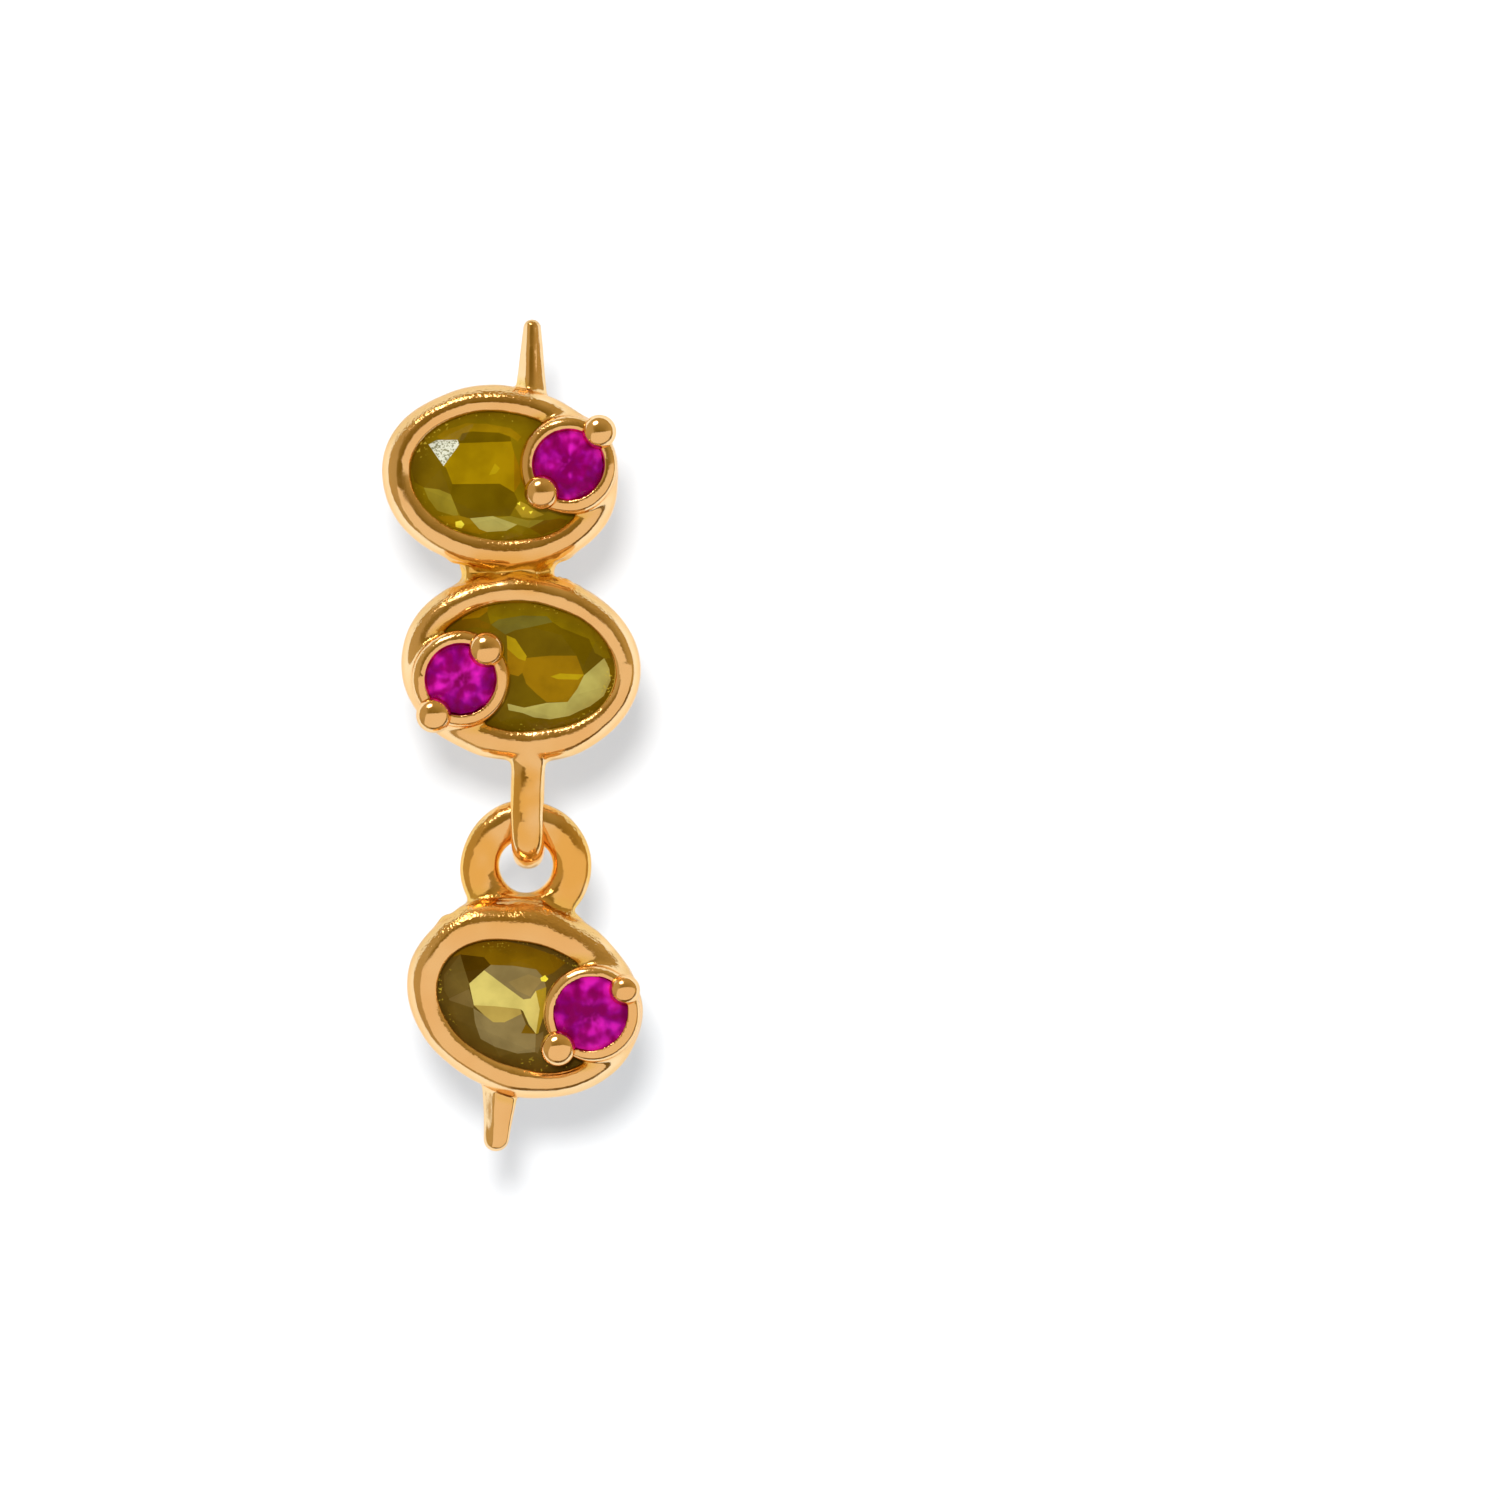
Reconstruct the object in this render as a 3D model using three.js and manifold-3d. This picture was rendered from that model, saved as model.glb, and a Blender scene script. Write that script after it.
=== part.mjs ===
// Cocktail-olive drop earring: two oval settings cast together above, a third that swings below.
//
// Millimetres. +X is to the right and +Z up as the earring is looked at, +Y runs back into the ear lobe.
// The origin is the root of the ear post, on the flat back of the top setting.
// Each olive has axes of its own: u along its length, v across it, w forward from the flat back.
import * as THREE from 'three';
import { mergeVertices } from 'three/addons/utils/BufferGeometryUtils.js';
import { ConvexGeometry } from 'three/addons/geometries/ConvexGeometry.js';
import Module from 'manifold-3d';

const wasm = await Module();
wasm.setup();

// ---- Driving dimensions ------------------------------------------------------------------------

// Where each olive lies and how far its length is turned from +X (degrees, anticlockwise as looked at);
// the half length and half width of its outline and of its opening, and the opening's centre in u and v;
// where its small cup stands in u and v, and its two prongs as [angle, distance] round the cup.
const OLIVES = {
  top: {
    x: 0,
    z: 0,
    tilt: -6.3,
    outline: [3.56, 2.82],
    opening: [2.71, 1.93],
    openingAt: [0, 0.06],
    cup: [1.99, 0.69],
    prongs: [[54, 1.32], [-125, 1.2]],
  },
  middle: {
    x: 0.61,
    z: -5.65,
    tilt: 174.3,
    outline: [3.61, 2.86],
    opening: [2.76, 1.93],
    openingAt: [-0.11, 0],
    cup: [1.76, 0.6],
    prongs: [[54, 1.32], [-125, 1.2]],
  },
  bottom: {
    x: 0.71,
    z: -15.64,
    tilt: -21.7,
    outline: [3.58, 2.9],
    opening: [2.65, 1.87],
    openingAt: [0.07, -0.17],
    cup: [2.07, 0.36],
    prongs: [[58, 1.15], [-113, 1.5]],
  },
};

// The rim's section: shares of the way out from the opening to the outline, and heights from the back.
const CREST_SHARE = 0.48;
const BACK_EDGE_SHARE = 0.52;
const CAVITY_FLOOR_SHARE = -1.35;
const RIM_HEIGHT = 2.9;
const RIM_BULGE_HEIGHT = 2;
const LIP_TOP = 2.45;
const LIP_UNDERSIDE = 2.29;
const CAVITY_FLOOR = 0.55;

// The oval stones, held under the lip by their girdles.
const SEAT_GAP = 0.05;
const GIRDLE_COVER = 0.14;
const GIRDLE_BASE = 2.05;
const GIRDLE_THICKNESS = 0.1;
const CROWN_HEIGHT = 0.45;
const PAVILION_DEPTH = 1.36;
const TABLE_SHARE = 0.6;
const LOWER_FACET_SHARE = 0.3;

// The small cups with their round stones and ball-ended prongs.
const CUP_BASE = 2.34;
const CUP_BASE_INSET = 0.14;
const CUP_CREST = 3.46;
const CUP_OUTER_RADIUS = 1.43;
const CUP_EDGE = 0.11;
const ROUND_STONE_RADIUS = 1.14;
const ROUND_STONE_GIRDLE = 3.14;
const ROUND_STONE_TABLE = 3.5;
const ROUND_STONE_SUNK = 0.2;
const PRONG_BALL_RADIUS = 0.465;
const PRONG_BALL_HEIGHT = 3.44;
const PRONG_STEM_RADIUS = 0.3;

// What joins the olives and ends them.
const MID_DEPTH = RIM_HEIGHT / 2;
const NECK = { x: 0.235, z: -2.83, halfWidth: 1.355, halfDepth: 0.85, flareRadius: 0.4, reach: 0.55 };

const LOOP_X = 0.84;
const LOOP_ROOT_Z = -8.1;
const LOOP_WIRE_HALF_WIDTH = 0.49;
const LOOP_WIRE_HALF_THICKNESS = 0.4;
const LOOP_BEND_RADIUS = 0.95;
const PIVOT_Z = -11.33;

const RING = { x: 0.8, z: -11.66, bend: 1.37, halfTube: 0.565, halfDepth: 0.475 };
const SADDLE = { x: 0.68, baseZ: -13.7, topZ: -12.6, baseHalf: 2.05, topHalf: 1.25, halfDepth: 0.72 };

const TOP_PICK = { root: [0.93, 2.2], tip: [0.955, 4.79], rootRadius: 0.53, tipRadius: 0.29 };
const BOTTOM_PICK = { root: [-0.02, -18], tip: [-0.13, -20.25], rootRadius: 0.5, tipRadius: 0.36 };

// The ear post.
const POST_RADIUS = 0.45;
const POST_LENGTH = 10.5;
const POST_SOCKET_DEPTH = 0.3;
const POST_NOTCH_AT = 8.6;
const POST_NOTCH_WIDTH = 0.5;
const POST_NOTCH_DEPTH = 0.08;

const RIM_SIDES = 42;
const CUP_SIDES = 26;
const WIRE_SIDES = 14;
const NECK_SIDES = 26;
const PIN_SIDES = 18;

// ---- Geometry helpers --------------------------------------------------------------------------

const radians = THREE.MathUtils.degToRad;

/** Closed skin through a stack of ovals [x, y, z, half width, half depth], flat at both ends. */
function ovalStack(ovals, sides) {
  const positions = [];
  const faces = [];
  for (const [x, y, z, halfWidth, halfDepth] of ovals) {
    for (let k = 0; k < sides; k += 1) {
      const turn = (2 * Math.PI * k) / sides;
      positions.push(x + halfWidth * Math.cos(turn), y + halfDepth * Math.sin(turn), z);
    }
  }
  const first = positions.length / 3;
  const last = first + 1;
  positions.push(...ovals[0].slice(0, 3), ...ovals[ovals.length - 1].slice(0, 3));
  for (let k = 0; k < sides; k += 1) {
    const next = (k + 1) % sides;
    const end = (ovals.length - 1) * sides;
    faces.push(first, next, k);
    faces.push(last, end + k, end + next);
    for (let row = 0; row < end; row += sides) {
      faces.push(row + k, row + next, row + sides + next);
      faces.push(row + k, row + sides + next, row + sides + k);
    }
  }
  const geometry = new THREE.BufferGeometry();
  geometry.setAttribute('position', new THREE.Float32BufferAttribute(positions, 3));
  geometry.setIndex(faces);
  return geometry;
}

/** Points [across, height] on a quarter of an oval, from its side (0 degrees) to its top (90). */
function quarter(centre, halfWidth, halfHeight, angles) {
  return angles.map((angle) => [
    centre[0] + halfWidth * Math.cos(radians(angle)),
    centre[1] + halfHeight * Math.sin(radians(angle)),
  ]);
}

/** The solid that a closed geometry bounds. */
function solidOf(geometry) {
  const bare = geometry.clone();
  bare.deleteAttribute('normal');
  bare.deleteAttribute('uv');
  const merged = mergeVertices(bare, 1e-5);
  const vertProperties = new Float32Array(merged.attributes.position.array);
  const triVerts = new Uint32Array(merged.index.array);
  return new wasm.Manifold(new wasm.Mesh({ numProp: 3, vertProperties, triVerts }));
}

/** The geometry of a solid's surface. */
function geometryOf(solid) {
  const { vertProperties, triVerts } = solid.getMesh();
  const geometry = new THREE.BufferGeometry();
  geometry.setAttribute('position', new THREE.BufferAttribute(vertProperties, 3));
  geometry.setIndex(new THREE.BufferAttribute(triVerts, 1));
  geometry.computeVertexNormals();
  return geometry;
}

/** One solid from several geometries that overlap, as cast or soldered metal is. */
function fuse(geometries) {
  return geometries.map(solidOf).reduce((whole, part) => whole.add(part));
}

/** Turns an olive's own u, v, w into x, y, z. */
function placement({ x, z, tilt }) {
  const placed = new THREE.Matrix4().makeTranslation(x, 0, z);
  placed.multiply(new THREE.Matrix4().makeRotationY(-radians(tilt)));
  return placed.multiply(new THREE.Matrix4().makeRotationX(Math.PI / 2));
}

// ---- Stones ------------------------------------------------------------------------------------

/** Corner points of one level of facets: an oval of a given share of the stone's size. */
function facetCorners({ halfLength, halfWidth }, share, height, count, turned = 0) {
  return Array.from({ length: count }, (_, k) => {
    const turn = ((k + turned) * 2 * Math.PI) / count;
    const u = halfLength * share * Math.cos(turn);
    const v = halfWidth * share * Math.sin(turn);
    return new THREE.Vector3(u, v, height);
  });
}

/** The oval brilliant-cut stone of one olive, grown by a gap to give the room that it sits in. */
function oliveStone({ opening, openingAt }, gap = 0) {
  const size = {
    halfLength: opening[0] + GIRDLE_COVER + gap,
    halfWidth: opening[1] + GIRDLE_COVER + gap,
  };
  const girdleBase = GIRDLE_BASE - gap;
  const girdleTop = GIRDLE_BASE + GIRDLE_THICKNESS + gap;
  const culet = girdleBase - PAVILION_DEPTH;
  const flat = Math.cos(Math.PI / 8);
  const star = (1 + TABLE_SHARE) / 2 / flat;
  const lower = LOWER_FACET_SHARE;
  const stone = new ConvexGeometry([
    ...facetCorners(size, TABLE_SHARE, girdleTop + CROWN_HEIGHT, 8),
    ...facetCorners(size, star, girdleTop + CROWN_HEIGHT / 2, 8, 0.5),
    ...facetCorners(size, 1, girdleTop, 16),
    ...facetCorners(size, 1, girdleBase, 16),
    ...facetCorners(size, lower, culet + PAVILION_DEPTH * lower * flat, 8, 0.5),
    new THREE.Vector3(0, 0, culet),
  ]);
  return stone.translate(...openingAt, 0);
}

/** The small round stone, sunk a little into the floor of its cup. */
function roundStone([u, v]) {
  const size = { halfLength: ROUND_STONE_RADIUS, halfWidth: ROUND_STONE_RADIUS };
  const stone = new ConvexGeometry([
    ...facetCorners(size, TABLE_SHARE, ROUND_STONE_TABLE, 8),
    ...facetCorners(size, 1, ROUND_STONE_GIRDLE, 16),
    ...facetCorners(size, 0.8, ROUND_STONE_GIRDLE - ROUND_STONE_SUNK, 8, 0.5),
  ]);
  return stone.translate(u, v, 0);
}

// ---- Parts of a setting, in an olive's own u, v, w ---------------------------------------------

/** The oval setting with its thick rounded rim and the hollow that takes the stone. */
function bezel({ outline, opening, openingAt }) {
  const rim = outline.map((half, k) => half - opening[k]);
  const room = (GIRDLE_COVER + SEAT_GAP) / rim[0];
  const outerArc = quarter(
    [CREST_SHARE, RIM_BULGE_HEIGHT], 1 - CREST_SHARE, RIM_HEIGHT - RIM_BULGE_HEIGHT, [0, 24, 46, 68, 90],
  );
  const innerArc = quarter(
    [CREST_SHARE, LIP_TOP], -CREST_SHARE, RIM_HEIGHT - LIP_TOP, [66, 44, 22, 0],
  );
  const profile = [
    [1 - BACK_EDGE_SHARE, 0],
    [1 - BACK_EDGE_SHARE / 3, 0.18 * RIM_BULGE_HEIGHT],
    [1 - BACK_EDGE_SHARE / 14, 0.55 * RIM_BULGE_HEIGHT],
    ...outerArc,
    ...innerArc,
    [0, LIP_UNDERSIDE],
    [room, GIRDLE_BASE + GIRDLE_THICKNESS + SEAT_GAP],
    [room, GIRDLE_BASE - SEAT_GAP],
    [CAVITY_FLOOR_SHARE, CAVITY_FLOOR],
  ];
  const ovals = profile.map(([share, height]) => {
    const inward = 1 - Math.max(share, 0);
    const halves = opening.map((half, k) => half + share * rim[k]);
    return [openingAt[0] * inward, openingAt[1] * inward, height, ...halves];
  });
  return ovalStack(ovals, RIM_SIDES);
}

/** The small cup that stands on one end of the olive. */
function cup([u, v]) {
  const profile = [
    [CUP_OUTER_RADIUS - CUP_BASE_INSET, CUP_BASE],
    ...quarter([CUP_OUTER_RADIUS - CUP_EDGE, CUP_CREST - CUP_EDGE], CUP_EDGE, CUP_EDGE, [0, 45, 90, 135]),
    [ROUND_STONE_RADIUS, ROUND_STONE_GIRDLE],
  ];
  return ovalStack(profile.map(([radius, height]) => [u, v, height, radius, radius]), CUP_SIDES);
}

/** A ball-ended prong beside the cup. */
function prong([u, v], [angle, distance]) {
  const meet = -Math.sqrt(1 - (PRONG_STEM_RADIUS / PRONG_BALL_RADIUS) ** 2);
  const steps = 6;
  const foot = CUP_BASE + SEAT_GAP;
  const profile = [new THREE.Vector2(0, foot), new THREE.Vector2(PRONG_STEM_RADIUS, foot)];
  for (let k = 0; k <= steps; k += 1) {
    const rise = THREE.MathUtils.lerp(Math.asin(meet), Math.PI / 2, k / steps);
    const radius = k === steps ? 0 : PRONG_BALL_RADIUS * Math.cos(rise);
    profile.push(new THREE.Vector2(radius, PRONG_BALL_HEIGHT + PRONG_BALL_RADIUS * Math.sin(rise)));
  }
  const shape = new THREE.LatheGeometry(profile, 12).rotateX(Math.PI / 2);
  const turn = radians(angle);
  return shape.translate(u + distance * Math.cos(turn), v + distance * Math.sin(turn), 0);
}

/** Bezel, cup, round stone and prongs of one olive, in the earring's frame. */
function setting(olive) {
  const parts = [bezel(olive), cup(olive.cup), roundStone(olive.cup)];
  olive.prongs.forEach((place) => parts.push(prong(olive.cup, place)));
  const place = placement(olive);
  return parts.map((part) => part.applyMatrix4(place));
}

/** The room for an olive's stone, in the earring's frame. */
function stoneRoom(olive) {
  return solidOf(oliveStone(olive, SEAT_GAP).applyMatrix4(placement(olive)));
}

// ---- What joins and ends the olives, in the earring's frame ------------------------------------

/** The waisted neck between the top and middle olives. */
function neck() {
  const ovals = [-1, -0.7, -0.35, 0, 0.35, 0.7, 1].map((share) => {
    const rise = share * NECK.reach;
    const away = Math.min(Math.abs(rise), NECK.flareRadius * 0.95);
    const flare = NECK.flareRadius - Math.sqrt(NECK.flareRadius ** 2 - away ** 2);
    return [NECK.x, -MID_DEPTH, NECK.z + rise, NECK.halfWidth + flare, NECK.halfDepth + flare];
  });
  return ovalStack(ovals, NECK_SIDES);
}

/** A cocktail pick's end: a round taper with a round tip, from a root [x, z] to a tip [x, z]. */
function pick({ root, tip, rootRadius, tipRadius }) {
  const from = new THREE.Vector3(root[0], -MID_DEPTH, root[1]);
  const along = new THREE.Vector3(tip[0], -MID_DEPTH, tip[1]).sub(from);
  const length = along.length();
  const ovals = [[0, 0, 0, rootRadius, rootRadius]];
  [0, 22, 44, 66, 84].forEach((angle) => {
    const radius = tipRadius * Math.cos(radians(angle));
    ovals.push([0, 0, length - tipRadius * (1 - Math.sin(radians(angle))), radius, radius]);
  });
  const upright = new THREE.Quaternion().setFromUnitVectors(new THREE.Vector3(0, 0, 1), along.normalize());
  return ovalStack(ovals, PIN_SIDES).applyQuaternion(upright).translate(from.x, from.y, from.z);
}

/** Centre line of the loop: down in front, round under and up behind, in the plane x = LOOP_X. */
class LoopPath extends THREE.Curve {
  getPoint(t, target = new THREE.Vector3()) {
    const bendZ = PIVOT_Z + LOOP_BEND_RADIUS;
    const leg = LOOP_ROOT_Z - bendZ;
    const bend = Math.PI * LOOP_BEND_RADIUS;
    const run = t * (2 * leg + bend);
    if (run < leg) {
      return target.set(LOOP_X, -MID_DEPTH - LOOP_BEND_RADIUS, LOOP_ROOT_Z - run);
    }
    if (run > leg + bend) {
      return target.set(LOOP_X, -MID_DEPTH + LOOP_BEND_RADIUS, bendZ + run - leg - bend);
    }
    const turn = Math.PI + (run - leg) / LOOP_BEND_RADIUS;
    const y = -MID_DEPTH + LOOP_BEND_RADIUS * Math.cos(turn);
    return target.set(LOOP_X, y, bendZ + LOOP_BEND_RADIUS * Math.sin(turn));
  }
}

/** The edge-on loop under the middle olive. */
function loop() {
  const wire = new THREE.Shape();
  wire.absellipse(0, 0, LOOP_WIRE_HALF_THICKNESS, LOOP_WIRE_HALF_WIDTH, 0, 2 * Math.PI);
  const options = { steps: 20, curveSegments: WIRE_SIDES / 2, extrudePath: new LoopPath() };
  return new THREE.ExtrudeGeometry(wire, options);
}

/** The face-on ring on top of the bottom olive. */
function ring() {
  const shape = new THREE.TorusGeometry(RING.bend, RING.halfTube, WIRE_SIDES, 30);
  shape.scale(1, 1, RING.halfDepth / RING.halfTube).rotateX(Math.PI / 2);
  return shape.translate(RING.x, -MID_DEPTH, RING.z);
}

/** The run of solder between the ring and the bottom olive. */
function saddle() {
  const ovals = [0, 0.35, 0.7, 1].map((share) => {
    const half = THREE.MathUtils.lerp(SADDLE.baseHalf, SADDLE.topHalf, share);
    const depth = SADDLE.halfDepth * (1 - 0.35 * share);
    return [SADDLE.x, -MID_DEPTH, THREE.MathUtils.lerp(SADDLE.baseZ, SADDLE.topZ, share), half, depth];
  });
  return ovalStack(ovals, NECK_SIDES);
}

/** The ear post: a plain pin with a notch for a clutch and a round tip, along +Y. */
function post(gap = 0) {
  const radius = POST_RADIUS + gap;
  const sunk = -POST_SOCKET_DEPTH + (gap ? 0 : SEAT_GAP);
  const profile = [
    [radius, sunk],
    [radius, POST_NOTCH_AT],
    [radius - POST_NOTCH_DEPTH, POST_NOTCH_AT + POST_NOTCH_WIDTH / 3],
    [radius - POST_NOTCH_DEPTH, POST_NOTCH_AT + (2 * POST_NOTCH_WIDTH) / 3],
    [radius, POST_NOTCH_AT + POST_NOTCH_WIDTH],
    ...quarter([0, POST_LENGTH - radius], radius, radius, [0, 30, 58, 80]),
  ];
  const pin = ovalStack(profile.map(([r, along]) => [0, 0, along, r, r]), PIN_SIDES);
  return pin.rotateX(-Math.PI / 2);
}

// ---- Pieces ------------------------------------------------------------------------------------

const polishedGold = { color: 0xd9974f, roughness: 0.14, metalness: 1 };
const postGold = { color: 0xd6a35c, roughness: 0.22, metalness: 1 };
const oliveGreen = { color: 0x8c7005, roughness: 0.05, metalness: 0 };

/** A named mesh with its own material. */
function piece(name, geometry, finish) {
  const mesh = new THREE.Mesh(geometry, new THREE.MeshStandardMaterial(finish));
  mesh.name = name;
  return mesh;
}

/** The stone of one olive, placed by its mesh. */
function stonePiece(name, olive) {
  const mesh = piece(name, oliveStone(olive), oliveGreen);
  mesh.applyMatrix4(placement(olive));
  return mesh;
}

function upperSetting() {
  const joined = [neck(), pick(TOP_PICK), loop()];
  const metal = fuse([...setting(OLIVES.top), ...setting(OLIVES.middle), ...joined]);
  const rooms = [stoneRoom(OLIVES.top), stoneRoom(OLIVES.middle), solidOf(post(SEAT_GAP))];
  return rooms.reduce((left, room) => left.subtract(room), metal);
}

function lowerSetting() {
  const metal = fuse([...setting(OLIVES.bottom), ring(), saddle(), pick(BOTTOM_PICK)]);
  return metal.subtract(stoneRoom(OLIVES.bottom));
}

const stud = new THREE.Group();
stud.add(piece('upper_setting', geometryOf(upperSetting()), polishedGold));
stud.add(stonePiece('top_olive_stone', OLIVES.top));
stud.add(stonePiece('middle_olive_stone', OLIVES.middle));
stud.add(piece('ear_post', post(), postGold));

const drop = new THREE.Group();
drop.add(piece('lower_setting', geometryOf(lowerSetting()), polishedGold));
drop.add(stonePiece('bottom_olive_stone', OLIVES.bottom));

const earring = new THREE.Group();
earring.add(stud, drop);

export default earring;
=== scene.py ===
"""Cocktail-olive stud earring: looks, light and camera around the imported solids.

Lengths in the classes are millimetres in the frame of the solids: +X right, +Y back into the lobe, +Z up.
Meshes are scaled to metres when they are made.
"""

from __future__ import annotations

import logging
import math
from dataclasses import dataclass
from enum import Enum
from typing import Any, Callable, Sequence

import bmesh
import bpy
import numpy as np
import openvdb
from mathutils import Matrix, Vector
from mathutils.geometry import delaunay_2d_cdt


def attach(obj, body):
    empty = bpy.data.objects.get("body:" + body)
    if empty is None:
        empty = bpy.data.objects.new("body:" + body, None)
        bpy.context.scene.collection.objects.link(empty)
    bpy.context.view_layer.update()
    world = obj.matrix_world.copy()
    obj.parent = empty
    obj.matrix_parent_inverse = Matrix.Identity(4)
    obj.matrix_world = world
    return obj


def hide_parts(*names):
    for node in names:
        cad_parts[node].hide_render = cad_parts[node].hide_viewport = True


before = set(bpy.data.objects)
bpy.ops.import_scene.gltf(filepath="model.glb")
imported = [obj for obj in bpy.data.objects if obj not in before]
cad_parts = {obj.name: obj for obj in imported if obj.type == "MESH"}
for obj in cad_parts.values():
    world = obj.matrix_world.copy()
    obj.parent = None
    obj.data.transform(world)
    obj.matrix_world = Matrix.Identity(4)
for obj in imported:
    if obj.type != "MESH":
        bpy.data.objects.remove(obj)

log = logging.getLogger("earring")

Array = np.ndarray
Pair = tuple[float, float]
Triple = tuple[float, float, float]
Points = tuple[Array, Array, Array]

MM = 0.001
TINY = 1e-6
LAST_CELL = 1.001
BAND_STEPS = 4
LEAST_STEEPNESS = 0.05
FACING_UP_FROM, FACING_UP_SPAN, FRONT_LEAN = 0.1, 0.4, 0.2
SENSOR_WIDTH = 36.0


class Slot(Enum):
    """The record's material slots."""

    GOLD = "gold_plate"
    POST = "post_metal"
    OLIVE = "olive_stone"
    PIMENTO = "pimento_stone"


class Body(Enum):
    """The bodies that pieces ride on."""

    STUD = "stud"
    DROP = "drop"


# ---- Mesh helpers -------------------------------------------------------------------------------


def linked(name: str, data: bpy.types.ID) -> bpy.types.Object:
    """Put data into the scene as a new object at the origin.

    Args:
        name: The object's name.
        data: Its mesh, light or camera.

    Returns:
        The object.
    """
    made = bpy.data.objects.new(name, data)
    bpy.context.scene.collection.objects.link(made)
    return made


def points_of(mesh: bpy.types.Mesh) -> Array:
    """A mesh's points as rows, in metres.

    Args:
        mesh: The mesh.

    Returns:
        One row of three numbers for each point.
    """
    points = np.zeros(len(mesh.vertices) * 3, np.float32)
    mesh.vertices.foreach_get("co", points)
    return points.reshape(-1, 3)


def store(mesh: bpy.types.Mesh, name: str, values: Array | Sequence[float], domain: str = "POINT") -> None:
    """Keep one number for each point or corner of a mesh as an attribute."""
    mesh.attributes.new(name, "FLOAT", domain).data.foreach_set("value", values)


def enclosed(mesh: bpy.types.Mesh) -> float:
    """Volume that a mesh's faces enclose.

    Args:
        mesh: A closed mesh.

    Returns:
        The volume, below 0 where the faces point inwards.
    """
    mesh.calc_loop_triangles()
    corners = np.zeros(len(mesh.loop_triangles) * 3, np.int32)
    mesh.loop_triangles.foreach_get("vertices", corners)
    a, b, c = points_of(mesh).astype(float)[corners.reshape(-1, 3)].transpose(1, 0, 2)
    return float(np.einsum("ij,ij->", a, np.cross(b, c)) / 6)


def face_out(mesh: bpy.types.Mesh) -> None:
    """Turn a closed mesh's faces outwards."""
    if enclosed(mesh) < 0:
        mesh.flip_normals()


# ---- Node building ------------------------------------------------------------------------------


def operator(operation: str, swapped: bool = False) -> Callable[[Wire, Any], Wire]:
    """Make one of the operators of a wire.

    Args:
        operation: What its Math node does.
        swapped: Whether the other value comes first.

    Returns:
        The operator.
    """

    def method(wire: Wire, other: Any) -> Wire:
        """Work on a wire and a number or another wire."""
        return wire.math(operation, *((other, wire) if swapped else (wire, other)))

    return method


class Wire:
    """A node's output socket that takes part in Python expressions."""

    def __init__(self, pad: NodePad, socket: Any) -> None:
        """Wrap a socket of a pad's tree.

        Args:
            pad: The pad that adds nodes to the socket's tree.
            socket: The output socket.
        """
        self.pad = pad
        self.socket = socket

    def math(self, operation: str, *values: Any) -> Wire:
        """Add a Math node on numbers, or a Vector Math node where this socket is a vector."""
        kind = "ShaderNodeVectorMath" if self.socket.type in {"VECTOR", "RGBA"} else "ShaderNodeMath"
        return self.pad.add(kind, dict(enumerate(values)), operation=operation)

    __add__, __radd__ = operator("ADD"), operator("ADD", swapped=True)
    __sub__, __rsub__ = operator("SUBTRACT"), operator("SUBTRACT", swapped=True)
    __mul__, __rmul__ = operator("MULTIPLY"), operator("MULTIPLY", swapped=True)
    __truediv__, __rtruediv__ = operator("DIVIDE"), operator("DIVIDE", swapped=True)
    __pow__ = operator("POWER")

    def ramp(self, low: float, high: float) -> Wire:
        """A smooth step from 0 at low to 1 at high."""
        return self.pad.add("ShaderNodeMapRange", {0: self, 1: low, 2: high}, interpolation_type="SMOOTHSTEP")


class NodePad:
    """Adds nodes to one tree."""

    def __init__(self, tree: bpy.types.NodeTree) -> None:
        """Start on an empty tree.

        Args:
            tree: The tree to build in.
        """
        self.tree = tree
        tree.nodes.clear()

    def add(self, kind: str, inputs: dict[Any, Any] | None = None, output: int | str = 0, **settings: Any) -> Wire:
        """Add a node.

        Args:
            kind: The node's type.
            inputs: Values or wires by the socket's name or index. A list links each of its wires.
            output: The output to give back.
            settings: Its properties, set before its sockets.

        Returns:
            The wire from the chosen output, or the bare node's wire where it has none.
        """
        node = self.tree.nodes.new(kind)
        for name, value in settings.items():
            setattr(node, name, value)
        for name, value in (inputs or {}).items():
            for one in value if isinstance(value, list) else [value]:
                self._plug(node.inputs[name], one)
        return Wire(self, node.outputs[output] if len(node.outputs) else None)

    def _plug(self, socket: Any, value: Any) -> None:
        """Link a wire to a socket, or set the socket's value.

        Args:
            socket: The input socket.
            value: A wire, a number, a name, a material, a vector or a colour.
        """
        if isinstance(value, Wire):
            self.tree.links.new(value.socket, socket)
        elif socket.type == "RGBA" and len(value) == 3:
            socket.default_value = (*value, 1.0)
        else:
            socket.default_value = value

    def mix(self, factor: Any, first: Any, second: Any) -> Wire:
        """Mix two colours by a factor."""
        return self.add("ShaderNodeMix", {0: factor, 6: first, 7: second}, output=2, data_type="RGBA")

    def noise(self, size: float, detail: float) -> Wire:
        """Noise whose lumps are about `size` mm across, on the piece's own coordinates."""
        inputs = {"Vector": self.coordinates(), "Scale": 1 / (size * MM), "Detail": detail}
        return self.add("ShaderNodeTexNoise", inputs)

    def coordinates(self) -> Wire:
        """Object coordinates."""
        return self.add("ShaderNodeTexCoord", output="Object")

    def stored(self, name: str, output: str = "Fac") -> Wire:
        """An attribute that the mesh carries."""
        return self.add("ShaderNodeAttribute", output=output, attribute_name=name)

    def vector(self, **axes: Any) -> Wire:
        """A vector from numbers or wires for its X, Y and Z."""
        return self.add("ShaderNodeCombineXYZ", axes)


def coat(name: str, build: Callable[[NodePad], Wire]) -> bpy.types.Material:
    """Make a material.

    Args:
        name: Its name.
        build: Adds its nodes to a pad and gives back its shader.

    Returns:
        The material.
    """
    made = bpy.data.materials.new(name)
    made.use_nodes = True
    pad = NodePad(made.node_tree)
    pad.add("ShaderNodeOutputMaterial", {"Surface": build(pad)})
    return made


# ---- Finishes -----------------------------------------------------------------------------------


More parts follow.
